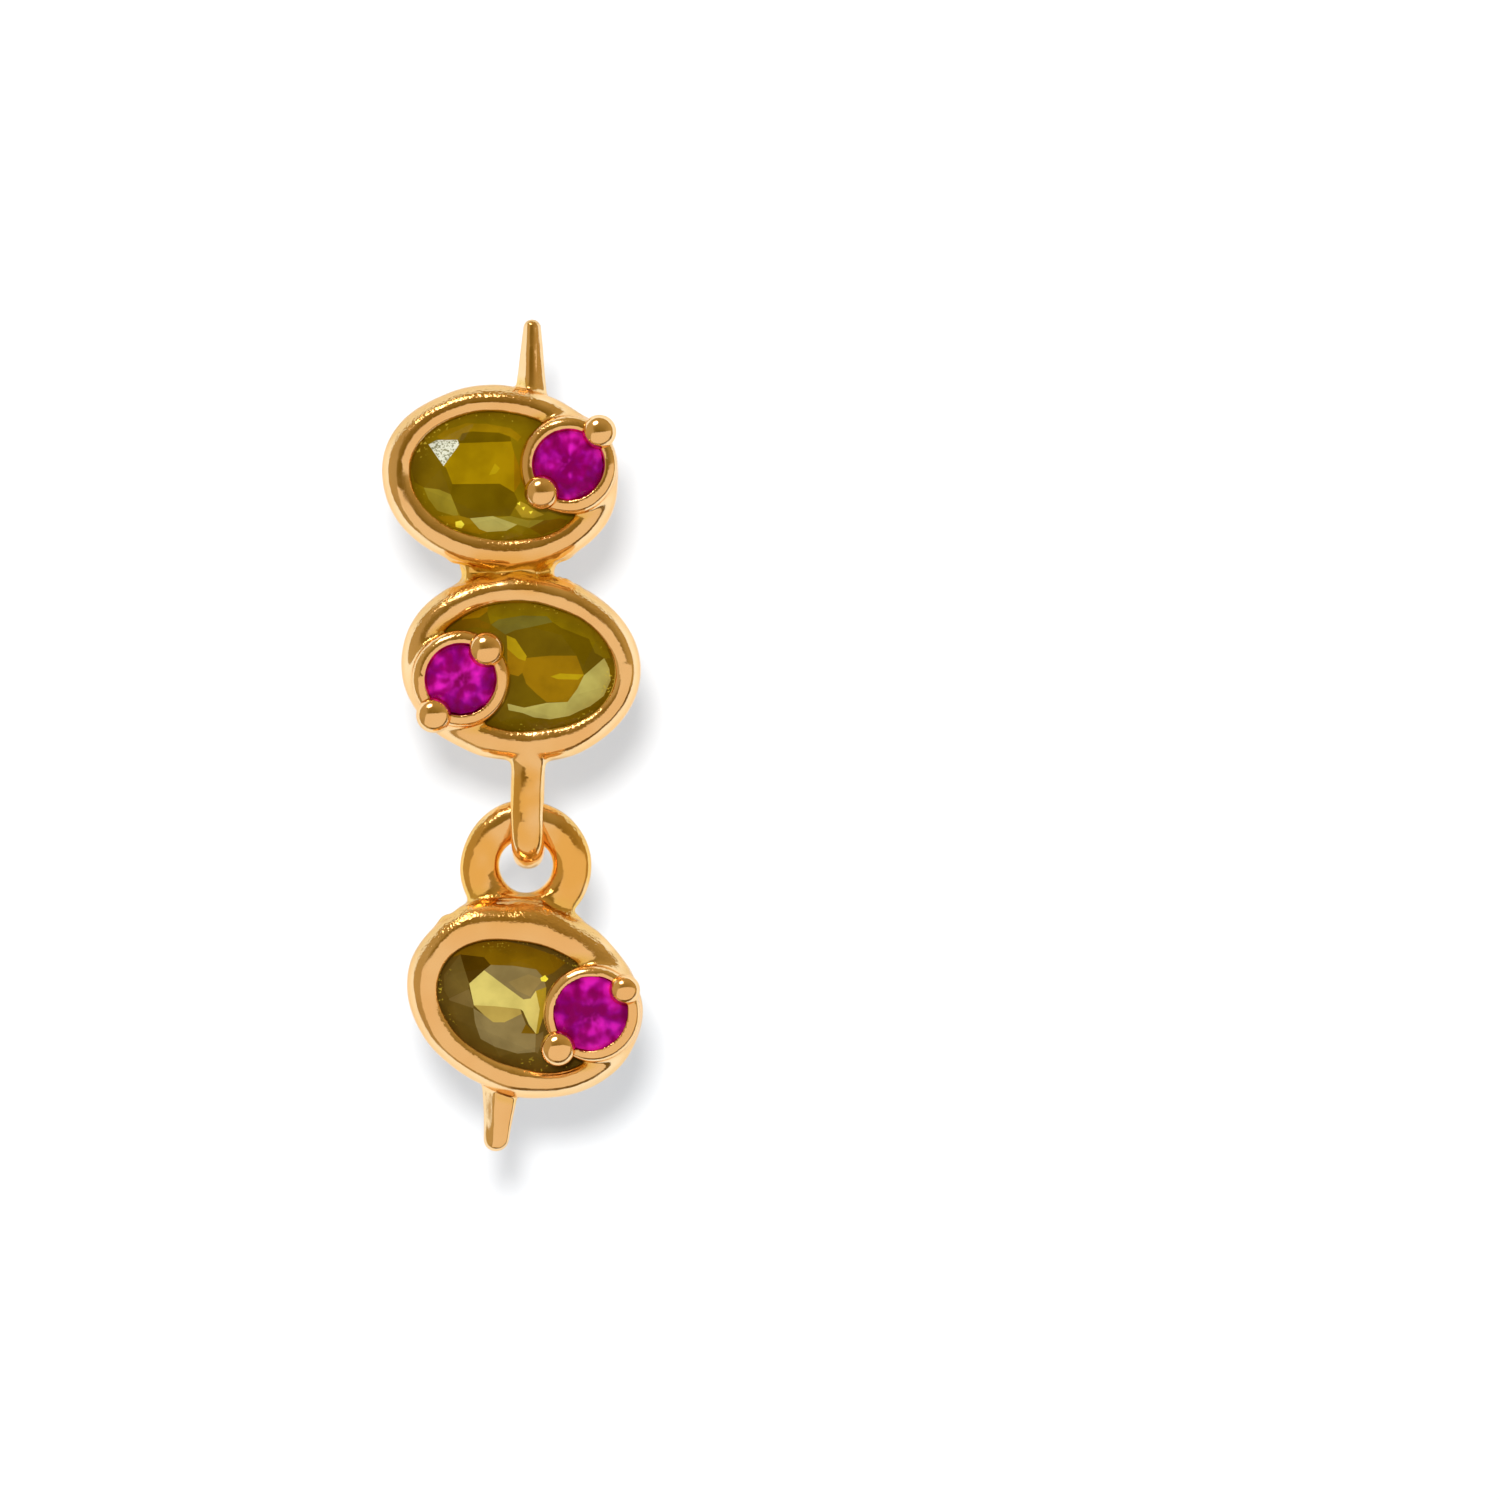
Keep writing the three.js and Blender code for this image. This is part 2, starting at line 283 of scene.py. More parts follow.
@dataclass(frozen=True)
class Finish:
    """What every finish has."""

    name: str = "finish"
    roughness: float = 0.03

    def material(self) -> bpy.types.Material:
        """Build the material."""
        return coat(self.name, self.shader)

    def shader(self, pad: NodePad) -> Wire:
        """Build the finish on a material's pad and give back its shader."""
        raise NotImplementedError


@dataclass(frozen=True)
class GoldFinish(Finish):
    """Polished gold plate: warm, a little uneven, with painted amber bounce light in the creases and painted darker
    shade on the up-facing front tops, grainy where the polish missed.
    """

    name: str = "polished gold plate"
    colour: Triple = (0.95, 0.69, 0.385)
    tone_colour: Triple = (0.925, 0.63, 0.32)
    crease_bounce_colour: Triple = (0.88, 0.62, 0.16)
    warm_colour: Triple = (0.9, 0.56, 0.17)
    top_shade_colour: Triple = (0.66, 0.44, 0.15)
    top_shade_share: float = 0.45
    edge_tint: Triple = (0.93, 0.74, 0.52)
    roughness: float = 0.085
    roughness_spread: float = 0.09
    crease_roughness: float = 0.1
    broad_size: float = 1.6
    ripple: float = 0.75
    ripple_size: float = 0.95
    ripple_height: float = 0.05
    dimple_size: float = 0.3
    dimple_share: float = 0.16
    grain_size: float = 0.1
    grain: float = 0.62
    least_grain: float = 0.03
    crease_grain: float = 0.25
    tone_step: Pair = (0.35, 0.7)
    warm_step: Pair = (0.3, 0.55)
    rough_step: Pair = (0.45, 0.75)
    top_patch_step: Pair = (0.34, 0.54)

    def shader(self, pad: NodePad) -> Wire:
        """Build the finish.

        Args:
            pad: The material's pad.

        Returns:
            Its shader.
        """
        crease = pad.stored("crease")
        broad = pad.noise(self.broad_size, 2)
        ripple = pad.noise(self.ripple_size, 1.5) + self.dimple_share * pad.noise(self.dimple_size, 1)
        grain = pad.noise(self.grain_size, 2)
        tone = pad.mix(broad.ramp(*self.tone_step), self.colour, self.tone_colour)
        warm = pad.mix(pad.stored("warm") * broad.ramp(*self.warm_step), tone, self.warm_colour)
        # Painted bounce light: the creases are mixed towards an amber colour that stands in for light thrown back and
        # forth between the gold walls.
        colour = pad.mix(crease, warm, self.crease_bounce_colour)
        rough = self.roughness + self.roughness_spread * ripple.ramp(*self.rough_step) + self.crease_roughness * crease
        # Painted shade: front surfaces that face up are darkened in broad patches, standing in for the dark above that
        # they mirror; the same patches also get grain.
        wear_and_top_shade = broad.ramp(*self.top_patch_step) * pad.stored("raised")
        colour = pad.mix(self.top_shade_share * wear_and_top_shade, colour, self.top_shade_colour)
        missed = wear_and_top_shade + self.crease_grain * crease
        height = ripple + grain * (self.least_grain + self.grain * missed)
        bump = pad.add("ShaderNodeBump", {
            "Strength": self.ripple, "Distance": self.ripple_height * MM, "Height": height,
        })
        return pad.add("ShaderNodeBsdfPrincipled", {
            "Base Color": colour, "Metallic": 1.0, "Roughness": rough, "Normal": bump,
            "Specular Tint": self.edge_tint,
        })


@dataclass(frozen=True)
class OliveFinish(Finish):
    """Green-gold oval stone: stored tones per facet, painted light and shade; painted glints along the edge; one facet
    painted with the lamp's speckled reflection.
    """

    name: str = "olive stone"
    dull_tint: Triple = (0.9, 0.89, 0.86)
    bright_tint: Triple = (1.16, 1.17, 1.18)
    cloud_size: float = 0.8
    spark_colour: Triple = (0.62, 0.48, 0.04)
    spark_share: float = 0.7
    spark_size: float = 0.085
    spark_group_size: float = 0.7
    lamp_glint_light: Triple = (0.68, 0.67, 0.52)
    lamp_glint_dark: Triple = (0.25, 0.24, 0.13)
    lamp_glint_grain: float = 0.04
    cloud_step: Pair = (0.3, 0.7)
    dull_step: Pair = (0.4, 0.7)
    spark_group_share: float = 0.6
    spark_step: Pair = (1.0, 1.1)
    spark_edge: Pair = (0.1, 0.5)
    lamp_glint_step: Pair = (0.2, 0.55)
    cloud_roughness: float = 0.05
    lamp_glint_roughness: float = 0.2
    refraction: float = 1.5
    gloss: float = 0.06

    def shader(self, pad: NodePad) -> Wire:
        """Build the finish.

        Args:
            pad: The material's pad.

        Returns:
            Its shader.
        """
        tone = pad.stored("tone", "Color")
        cloud = pad.noise(self.cloud_size, 3)
        colour = pad.mix(cloud.ramp(*self.cloud_step), tone * self.dull_tint, tone * self.bright_tint)
        # Painted glints: bright specks near the girdle stand in for light catching the facets.
        specks = pad.noise(self.spark_size, 1) + self.spark_group_share * pad.noise(self.spark_group_size, 1)
        sparks = specks.ramp(*self.spark_step) * pad.stored("edge").ramp(*self.spark_edge)
        colour = pad.mix(self.spark_share * sparks, colour, self.spark_colour)
        # Painted reflection: the lamp's speckled reflection is painted into one facet's colour, and that facet is also
        # made rougher.
        cells = {"Vector": pad.coordinates(), "Scale": 1 / (self.lamp_glint_grain * MM)}
        cell = pad.add("ShaderNodeTexVoronoi", cells, output="Color")
        grains = pad.add("ShaderNodeSeparateColor", {0: cell}).ramp(*self.lamp_glint_step)
        frost = pad.mix(grains, self.lamp_glint_dark, self.lamp_glint_light)
        colour = pad.mix(pad.stored("frost"), colour, frost)
        rough = self.roughness + self.cloud_roughness * cloud.ramp(*self.dull_step)
        rough = rough + self.lamp_glint_roughness * pad.stored("frost")
        return pad.add("ShaderNodeBsdfPrincipled", {
            "Base Color": colour, "Roughness": rough, "IOR": self.refraction, "Specular IOR Level": self.gloss,
        })


@dataclass(frozen=True)
class PimentoFinish(Finish):
    """Magenta round stone: streaked, violet towards its edge, with painted shade darkening its middle and painted light
    brightening it towards its edge.
    """

    name: str = "pimento stone"
    colour: Triple = (0.3, 0.0006, 0.138)
    bright_colour: Triple = (0.7, 0.012, 0.43)
    dark_colour: Triple = (0.135, 0.0003, 0.035)
    violet_colour: Triple = (0.24, 0.0007, 0.17)
    dark_share: float = 0.7
    ray_turn: float = 1.4
    ray_reach: float = 1.5
    ray_drift: float = 700.0
    ray_share: float = 0.4
    mottle_size: float = 0.75
    ray_detail: float = 0.8
    violet_step: Pair = (0.4, 0.62)
    dark_step: Pair = (0.52, 0.34)
    middle_shade_step: Pair = (0.3, 0.5)
    middle_shade_reach: Pair = (0.65, 0.15)
    bright_step: Pair = (0.48, 0.7)
    bright_reach: Pair = (0.0, 0.6)
    mottle_roughness: float = 0.08
    rough_step: Pair = (0.4, 0.7)
    refraction: float = 1.45
    gloss: float = 0.04

    def shader(self, pad: NodePad) -> Wire:
        """Build the finish.

        Args:
            pad: The material's pad.

        Returns:
            Its shader.
        """
        own = pad.stored("own", "Vector")
        reach = pad.add("ShaderNodeVectorMath", {0: own}, output="Value", operation="LENGTH")
        way = pad.add("ShaderNodeVectorMath", {0: own}, operation="NORMALIZE")
        spread = way * ((self.ray_turn,) * 3) + own * ((self.ray_reach,) * 3)
        spread = spread + pad.coordinates() * ((self.ray_drift,) * 3)
        rays = pad.add("ShaderNodeTexNoise", {"Vector": spread, "Scale": 1.0, "Detail": self.ray_detail})
        mottle = (1 - self.ray_share) * pad.noise(self.mottle_size, 1.3) + self.ray_share * rays
        colour = pad.mix(rays.ramp(*self.violet_step), self.colour, self.violet_colour)
        colour = pad.mix(self.dark_share * mottle.ramp(*self.dark_step), colour, self.dark_colour)
        # Painted shade: the middle of the stone is darkened.
        middle = reach.ramp(*self.middle_shade_reach) * mottle.ramp(*self.middle_shade_step)
        colour = pad.mix(middle, colour, self.dark_colour)
        # Painted light: towards the edge the stone is brightened, more where its lift is higher.
        lit = (mottle + pad.stored("lift")).ramp(*self.bright_step) * reach.ramp(*self.bright_reach)
        colour = pad.mix(lit, colour, self.bright_colour)
        rough = self.roughness + self.mottle_roughness * mottle.ramp(*self.rough_step)
        return pad.add("ShaderNodeBsdfPrincipled", {
            "Base Color": colour, "Roughness": rough, "IOR": self.refraction, "Specular IOR Level": self.gloss,
        })


# ---- Solid fields -------------------------------------------------------------------------------


def blend_union(first: Array, second: Array, radius: float) -> Array:
    """Join two distance fields with a fillet of about that radius."""
    near = np.clip(radius - np.abs(first - second), 0, None)
    return np.minimum(first, second) - near * near / (4 * radius)


def blend_cut(first: Array, second: Array, radius: float) -> Array:
    """Keep what is inside both distance fields, with its edges rounded."""
    return -blend_union(-first, -second, radius)


def oval_distance(across: Array, along: Array, half_across: float, half_along: float) -> Array:
    """Distance to an oval's edge.

    Args:
        across: How far points lie from its centre one way.
        along: How far they lie from it the other way.
        half_across: Half its width.
        half_along: Half its length.

    Returns:
        The distances, below 0 inside.
    """
    reach = np.sqrt((across / half_across) ** 2 + (along / half_along) ** 2) + TINY
    slope = np.sqrt((across / half_across**2) ** 2 + (along / half_along**2) ** 2) + TINY
    return reach * (reach - 1) / slope


class Profile:
    """Distance to a closed outline in a plane, kept as a table that is read between its points."""

    def __init__(self, outline: Sequence[Pair], low: Pair, high: Pair, step: float = 0.012) -> None:
        """Fill the table.

        Args:
            outline: The outline's corners.
            low: The table's lowest corner.
            high: The table's highest corner.
            step: The spacing of its points.
        """
        self.low, self.step = low, step
        counts = [int((high[k] - low[k]) / step) + 2 for k in (0, 1)]
        xs, ys = (low[k] + step * np.arange(counts[k], dtype=np.float32) for k in (0, 1))
        px, py = np.meshgrid(xs, ys, indexing="ij")
        nearest = np.full(px.shape, 1e9, np.float32)
        inside = np.zeros(px.shape, bool)
        corners = list(outline)
        for (ax, ay), (bx, by) in zip(corners, corners[1:] + corners[:1]):
            dx, dy = bx - ax, by - ay
            share = np.clip(((px - ax) * dx + (py - ay) * dy) / (dx * dx + dy * dy), 0, 1)
            nearest = np.minimum(nearest, (px - ax - share * dx) ** 2 + (py - ay - share * dy) ** 2)
            if ay != by:
                crosses = (ay > py) != (by > py)
                inside ^= crosses & (px < ax + (py - ay) * dx / dy)
        self.table = np.where(inside, -1, 1).astype(np.float32) * np.sqrt(nearest)

    def __call__(self, x: Array, y: Array) -> Array:
        """Read the distance at points.

        Args:
            x: Their first coordinates.
            y: Their second coordinates.

        Returns:
            The distances, below 0 inside.
        """
        fx = np.clip((x - self.low[0]) / self.step, 0, self.table.shape[0] - LAST_CELL)
        fy = np.clip((y - self.low[1]) / self.step, 0, self.table.shape[1] - LAST_CELL)
        ix, iy = fx.astype(np.int32), fy.astype(np.int32)
        fx, fy = fx - ix, fy - iy
        t = self.table
        near = t[ix, iy] * (1 - fy) + t[ix, iy + 1] * fy
        far = t[ix + 1, iy] * (1 - fy) + t[ix + 1, iy + 1] * fy
        return (near * (1 - fx) + far * fx).astype(np.float32)


def arc(centre: Pair, halves: Pair, start: float, stop: float, count: int) -> list[Pair]:
    """Points on an oval's arc, between two angles in degrees."""
    turns = np.radians(np.linspace(start, stop, count))
    return [(centre[0] + halves[0] * math.cos(t), centre[1] + halves[1] * math.sin(t)) for t in turns]


@dataclass(frozen=True)
class Grid:
    """A box of sample points."""

    low: Triple
    high: Triple
    step: float

    def axes(self) -> Points:
        """Coordinates along X, Y and Z, shaped to fill the box together."""
        lines = [np.arange(self.low[k], self.high[k], self.step, dtype=np.float32) for k in range(3)]
        return lines[0][:, None, None], lines[1][None, :, None], lines[2][None, None, :]


class HandWork:
    """The slight unevenness of a hand-polished casting: a sum of waves in seeded directions."""

    def __init__(self, seed: int, height: float, lengths: Pair, count: int = 14) -> None:
        """Draw the waves.

        Args:
            seed: Fixes the waves.
            height: The root-mean-square height, in mm.
            lengths: The shortest and longest wave, in mm.
            count: How many waves.
        """
        draw = np.random.default_rng(seed)
        aim = draw.normal(size=(count, 3))
        aim /= np.linalg.norm(aim, axis=1, keepdims=True)
        self.waves = aim * (2 * math.pi / draw.uniform(*lengths, size=(count, 1)))
        self.phases = draw.uniform(0, 2 * math.pi, count)
        self.height = height * math.sqrt(2 / count)

    def __call__(self, at: Points) -> Array:
        """Height at points.

        Args:
            at: The points' X, Y and Z.

        Returns:
            The heights, in mm.
        """
        x, y, z = at
        total = np.zeros(np.broadcast_shapes(x.shape, y.shape, z.shape), np.float32)
        for (kx, ky, kz), phase in zip(self.waves.astype(np.float32), self.phases):
            total += np.sin(kx * x + ky * y + (kz * z + np.float32(phase)))
        return total * np.float32(self.height)


def skin(field_values: Array, grid: Grid, name: str) -> bpy.types.Object:
    """Mesh the surface where a field passes through 0.

    Args:
        field_values: Distances on the grid's points, in mm.
        grid: The points.
        name: The new object's name.

    Returns:
        The object, in metres, with what `creases` stores.
    """
    band = BAND_STEPS * grid.step
    volume = openvdb.FloatGrid(band)
    volume.copyFromArray(np.clip(field_values, -band, band).astype(np.float32))
    volume.transform = openvdb.createLinearTransform(grid.step)
    points, quads = volume.convertToQuads(0.0)
    points = np.asarray(points, np.float32) + np.array(grid.low, np.float32)
    points = settle(points, field_values, grid)
    quads = np.asarray(quads, np.int32)
    mesh = bpy.data.meshes.new(name)
    mesh.vertices.add(len(points))
    mesh.vertices.foreach_set("co", (points * MM).ravel())
    mesh.loops.add(quads.size)
    mesh.loops.foreach_set("vertex_index", quads.ravel())
    mesh.polygons.add(len(quads))
    mesh.polygons.foreach_set("loop_start", np.arange(0, quads.size, 4, dtype=np.int32))
    mesh.update(calc_edges=True)
    face_out(mesh)
    mesh.shade_smooth()
    creases(mesh, field_values, grid)
    return linked(name, mesh)


def read(field_values: Array, grid: Grid, points: Array) -> Array:
    """Read a field between its grid's points.

    Args:
        field_values: The field.
        grid: Its points.
        points: Where to read it, in mm.

    Returns:
        The field's values there.
    """
    place = (points - np.array(grid.low, np.float32)) / grid.step
    place = np.clip(place, 0, np.array(field_values.shape) - LAST_CELL)
    base = place.astype(np.int32)
    part = place - base
    total = np.zeros(len(points), np.float32)
    for corner in range(8):
        offset = np.array([corner & 1, corner >> 1 & 1, corner >> 2 & 1])
        share = np.prod(np.where(offset, part, 1 - part), axis=1)
        total += share * field_values[tuple((base + offset).T)]
    return total


def slopes(field_values: Array, grid: Grid, points: Array) -> Array:
    """The field's gradient at points."""
    steps = np.eye(3, dtype=np.float32) * grid.step
    sides = [read(field_values, grid, points + s) - read(field_values, grid, points - s) for s in steps]
    return np.stack(sides, axis=1) / (2 * grid.step)


def settle(points: Array, field_values: Array, grid: Grid, rounds: int = 2) -> Array:
    """Move points on to a field's surface along its slope.

    Args:
        points: The points, in mm.
        field_values: The field.
        grid: Its points.
        rounds: How often to move them.

    Returns:
        The moved points.
    """
    for _ in range(rounds):
        slope = slopes(field_values, grid, points)
        steepness = np.maximum((slope**2).sum(1, keepdims=True), LEAST_STEEPNESS)
        move = read(field_values, grid, points)[:, None] * slope / steepness
        points = points - np.clip(move, -grid.step / 2, grid.step / 2)
    return points


def creases(mesh: bpy.types.Mesh, field_values: Array, grid: Grid, reach: float = 0.42, enough: float = 0.85,
            span: float = 0.7) -> None:
    """Store where the metal is closed in, as "crease", and where it faces up in front, as "raised"; the gold paints
    bounce light into the first and shade onto the second.

    Args:
        mesh: The metal.
        field_values: The field that it was meshed from.
        grid: The field's points.
        reach: How far out along its normal each point looks for room, in mm.
        enough: The share of that reach that is room enough.
        span: The share below it over which the crease fills in.
    """
    normals = np.zeros(len(mesh.vertices) * 3, np.float32)
    mesh.vertex_normals.foreach_get("vector", normals)
    normals = normals.reshape(-1, 3)
    room = read(field_values, grid, points_of(mesh) / MM + reach * normals) / reach
    store(mesh, "crease", np.clip((enough - room) / span, 0, 1).astype(np.float32))
    sides = (normals[:, 2], -normals[:, 1] + FRONT_LEAN)
    up, front = (np.clip((side - FACING_UP_FROM) / FACING_UP_SPAN, 0, 1) for side in sides)
    store(mesh, "raised", up * front)


def warmth(mesh: bpy.types.Mesh, spots: Sequence[Pair]) -> None:
    """Store how warm the gold is, as "warm".

    Args:
        mesh: The metal.
        spots: The height and reach of each warm stretch, in mm.
    """
    heights = points_of(mesh)[:, 2] / MM
    store(mesh, "warm", sum(np.exp(-(((heights - at_z) / reach) ** 4)) for at_z, reach in spots).astype(np.float32))


# ---- Sub-assemblies -----------------------------------------------------------------------------


MID_DEPTH = 1.45
NEAR_CENTRE = 1e-5
LEAST_GROWTH = -1e-3
SHARE_LIMITS = (-1.7, 5)


@dataclass(frozen=True)
class Prong:
    """One ball prong of a cup: its turn and distance from the cup's axis, and how stout it is."""

    turn: float
    distance: float
    girth: float


@dataclass(frozen=True)
class Olive:
    """One oval setting: where it lies, its outline and opening, and its small cup with two prongs."""

    x: float
    z: float
    tilt: float
    outline: Pair
    opening: Pair
    opening_at: Pair
    cup: Pair
    prongs: tuple[Prong, Prong]
    stone_share: float = 1.0

    def own(self, x: Array, z: Array) -> tuple[Array, Array]:
        """Turn x and z into the olive's own directions.

        Args:
            x: Points' X.
            z: Their Z.

        Returns:
            Their u, along the olive, and v, across it.
        """
        turn = math.radians(self.tilt)
        dx, dz = x - self.x, z - self.z
        return dx * math.cos(turn) + dz * math.sin(turn), dz * math.cos(turn) - dx * math.sin(turn)

    def world(self, u: float, v: float) -> Pair:
        """Turn u and v back.

        Args:
            u: A point's place along the olive.
            v: Its place across it.

        Returns:
            Its X and Z.
        """
        turn = math.radians(self.tilt)
        x = self.x + u * math.cos(turn) - v * math.sin(turn)
        return x, self.z + u * math.sin(turn) + v * math.cos(turn)

    def share(self, u: Array, v: Array, rounds: int = 7) -> Array:
        """How far out points lie between the opening and the outline.

        Args:
            u: Their places along the olive.
            v: Their places across it.
            rounds: Newton steps.

        Returns:
            0 on the opening and 1 on the outline, and on past both.
        """
        rim = [self.outline[k] - self.opening[k] for k in (0, 1)]
        out = np.zeros(np.broadcast_shapes(u.shape, v.shape), np.float32)
        for _ in range(rounds):
            hu, hv = self.opening[0] + out * rim[0], self.opening[1] + out * rim[1]
            pu = (u - self.opening_at[0] * (1 - out)) / hu
            pv = (v - self.opening_at[1] * (1 - out)) / hv
            reach = np.sqrt(pu * pu + pv * pv) + NEAR_CENTRE
            grow = pu * (self.opening_at[0] - pu * rim[0]) / hu + pv * (self.opening_at[1] - pv * rim[1]) / hv
            out = np.clip(out - (reach - 1) * reach / np.minimum(grow, LEAST_GROWTH), *SHARE_LIMITS)
        return out


TOP_OLIVE = Olive(
    x=0, z=0, tilt=-6.3, outline=(3.56, 2.82), opening=(2.71, 1.93), opening_at=(0, 0.06),
    cup=(2.02, 0.616), prongs=(Prong(53.1, 1.352, 1.1), Prong(-127.7, 1.149, 1.12)),
)
MIDDLE_OLIVE = Olive(
    x=0.61, z=-5.65, tilt=174.3, outline=(3.61, 2.86), opening=(2.76, 1.93), opening_at=(-0.11, 0),
    cup=(1.717, 0.563), prongs=(Prong(58.9, 1.342, 1.14), Prong(-125.2, 1.172, 1.14)),
)
BOTTOM_OLIVE = Olive(
    x=0.71, z=-15.64, tilt=-21.7, outline=(3.58, 2.9), opening=(2.65, 1.87), opening_at=(0.07, -0.17),
    cup=(2.061, 0.368), prongs=(Prong(57.1, 1.224, 1.0), Prong(-112.1, 1.443, 1.13)), stone_share=1.08,
)


@dataclass
class Setting:
    """The metal of one olive: thick rounded rim, hollow for the oval stone, small cup on one end."""

    olive: Olive
    rim_width: float = 0.87
    crest_share: float = 0.36
    back_share: float = 0.48
    rim_height: float = 2.9
    bulge_height: float = 2.0
    bulge_radius: float = 0.42
    lip_top: float = 2.42
    seat: float = 2.25
    seat_depth: float = 0.17
    seat_drop: float = 0.02
    seat_edge: float = 0.16
    room_foot: float = 1.95
    room_girdle: float = 2.22
    room_table: Pair = (-0.86, 2.65)
    floor: float = 0.55
    floor_edge: float = -1.17
    inmost: float = -4.0
    table_low: Pair = (-1.6, -0.6)
    table_high: Pair = (4.0, 4.4)
    cup_foot: float = 2.2
    cup_radius: float = 1.46
    cup_crest: float = 3.46
    cup_round: Pair = (0.34, 0.3)
    cup_undercut: Pair = (0.02, 0.1)
    cup_floor: float = 2.8
    cup_floor_radius: float = 0.3
    stone_radius: float = 1.037
    stone_girdle: float = 3.36
    melt: float = 0.22
    inner_melt: float = 0.08
    melt_from: float = 0.1
    melt_span: float = 0.5

    def rim_profile(self) -> Profile:
        """The rim's section.

        Returns:
            Its profile, by how far out from the opening and how high from the flat back.
        """
        crest = self.crest_share * self.rim_width
        outer, bulge = self.rim_width - crest, self.bulge_radius
        points = [(self.inmost, 0.0), (self.back_share * self.rim_width, 0.0)]
        points += arc((self.rim_width - bulge, self.bulge_height), (bulge, self.bulge_height), -70, -8, 9)
        points += arc((crest, self.bulge_height), (outer, self.rim_height - self.bulge_height), 0, 90, 17)
        points += arc((crest, self.lip_top), (crest * math.sqrt(2), self.rim_height - self.lip_top), 99, 135, 9)
        points += [(0.0, self.seat), (self.seat_edge, self.seat - self.seat_drop), (self.seat_depth, self.room_foot)]
        points += [(self.floor_edge, self.floor), (self.inmost, self.floor)]
        return Profile(points, self.table_low, self.table_high)

    def room_profile(self) -> Profile:
        """The section of the room that the oval stone takes.

        Returns:
            Its profile, in the rim section's own terms.
        """
        points = [(self.inmost, self.floor), (self.floor_edge, self.floor), (self.seat_depth, self.room_foot)]
        points += [(self.seat_depth, self.room_girdle), self.room_table, (self.inmost, self.room_table[1])]
        return Profile(points, self.table_low, self.table_high)

    def cup_profile(self) -> Profile:
        """The cup's section.

        Returns:
            Its profile, by distance from its axis and height.
        """
        inner = self.stone_radius * self.olive.stone_share
        across, down = self.cup_round
        points = [(0.0, self.cup_foot), (self.cup_radius, self.cup_foot)]
        points += arc((self.cup_radius - across, self.cup_crest - down), (across, down), 0, 92, 15)
        points += [(inner, self.stone_girdle), (inner + self.cup_undercut[0], self.stone_girdle - self.cup_undercut[1])]
        points += [(self.cup_floor_radius, self.cup_floor), (0.0, self.cup_floor)]
        return Profile(points, (0.0, 1.0), (5.0, 5.0))

    def field(self, at: Points) -> Array:
        """Distance to the setting's metal.

        Args:
            at: The points' X, Y and Z.

        Returns:
            The distances, below 0 inside.
        """
        x, y, z = at
        u, v = self.olive.own(x, z)
        out = self.olive.share(u, v) * self.rim_width
        rim = self.rim_profile()(out, -y)
        radius = np.hypot(u - self.olive.cup[0], v - self.olive.cup[1])
        cup = self.cup_profile()(radius, -y)
        outside = np.clip((out + self.melt_from) / self.melt_span, 0, 1)
        both = blend_union(rim, cup, self.inner_melt) * (1 - outside) + blend_union(rim, cup, self.melt) * outside
        return np.maximum(both, -self.room_profile()(out, -y))


@dataclass(frozen=True)
class FiledFace:
    """A flat filed along a pick: its turn, and its depth as a share of the pick's radius."""

    turn: float
    depth: float


@dataclass
class Pick:
    """The end of a cocktail pick: a taper with a round tip, filed flat on some sides."""

    root: Pair
    tip: Pair
    root_radius: float
    tip_radius: float
    faces: tuple[FiledFace, ...] = ()
    swell: float = 0.0
    filed_edge: float = 0.06

    def field(self, at: Points) -> Array:
        """Distance to the pick.

        Args:
            at: The points' X, Y and Z.

        Returns:
            The distances, below 0 inside.
        """
        x, y, z = at
        root = np.array([self.root[0], -MID_DEPTH, self.root[1]])
        run = np.array([self.tip[0] - self.root[0], 0.0, self.tip[1] - self.root[1]])
        run *= 1 - self.tip_radius / np.linalg.norm(run)
        px, py, pz = x - root[0], y - root[1], z - root[2]
        along = np.clip((px * run[0] + pz * run[2]) / (run @ run), 0, 1)
        radius = self.root_radius + (self.tip_radius - self.root_radius) * along + self.swell * np.sin(math.pi * along)
        ox, oz = px - along * run[0], pz - along * run[2]
        body = np.sqrt(ox * ox + py * py + oz * oz) - radius
        for face in self.faces:
            turn = math.radians(face.turn)
            flat = ox * math.sin(turn) - py * math.cos(turn) - face.depth * radius
            body = blend_cut(body, flat, self.filed_edge)
        return body


@dataclass
class Loop:
    """The edge-on loop: down in front, round under and up behind, soldered under the middle olive."""

    x: float = 0.84
    root_z: float = -8.1
    half_width: float = 0.49
    half_thickness: float = 0.4
    bend: float = 0.95
    pivot_z: float = -11.33
    lean: float = 0.1
    wear: float = 0.12
    wear_reach: float = 0.55

    def field(self, at: Points) -> Array:
        """Distance to the loop's wire, whose legs lean together upwards and which is worn where the ring hangs.

        Args:
            at: The points' X, Y and Z.

        Returns:
            The distances, below 0 inside.
        """
        x, y, z = at
        centre_z = self.pivot_z + self.bend
        py, pz = y + MID_DEPTH, z - centre_z
        under = np.abs(np.hypot(py, pz) - self.bend)
        leg = self.bend - self.lean * np.maximum(pz, 0)
        off = np.where(pz > 0, np.hypot(np.abs(py) - leg, np.maximum(z - self.root_z, 0)), under)
        wear_and_top_shade = 1 + self.wear * np.exp(-((py / self.wear_reach) ** 2)) * (pz < 0)
        return oval_distance((x - self.x) * wear_and_top_shade, off, self.half_width, self.half_thickness)


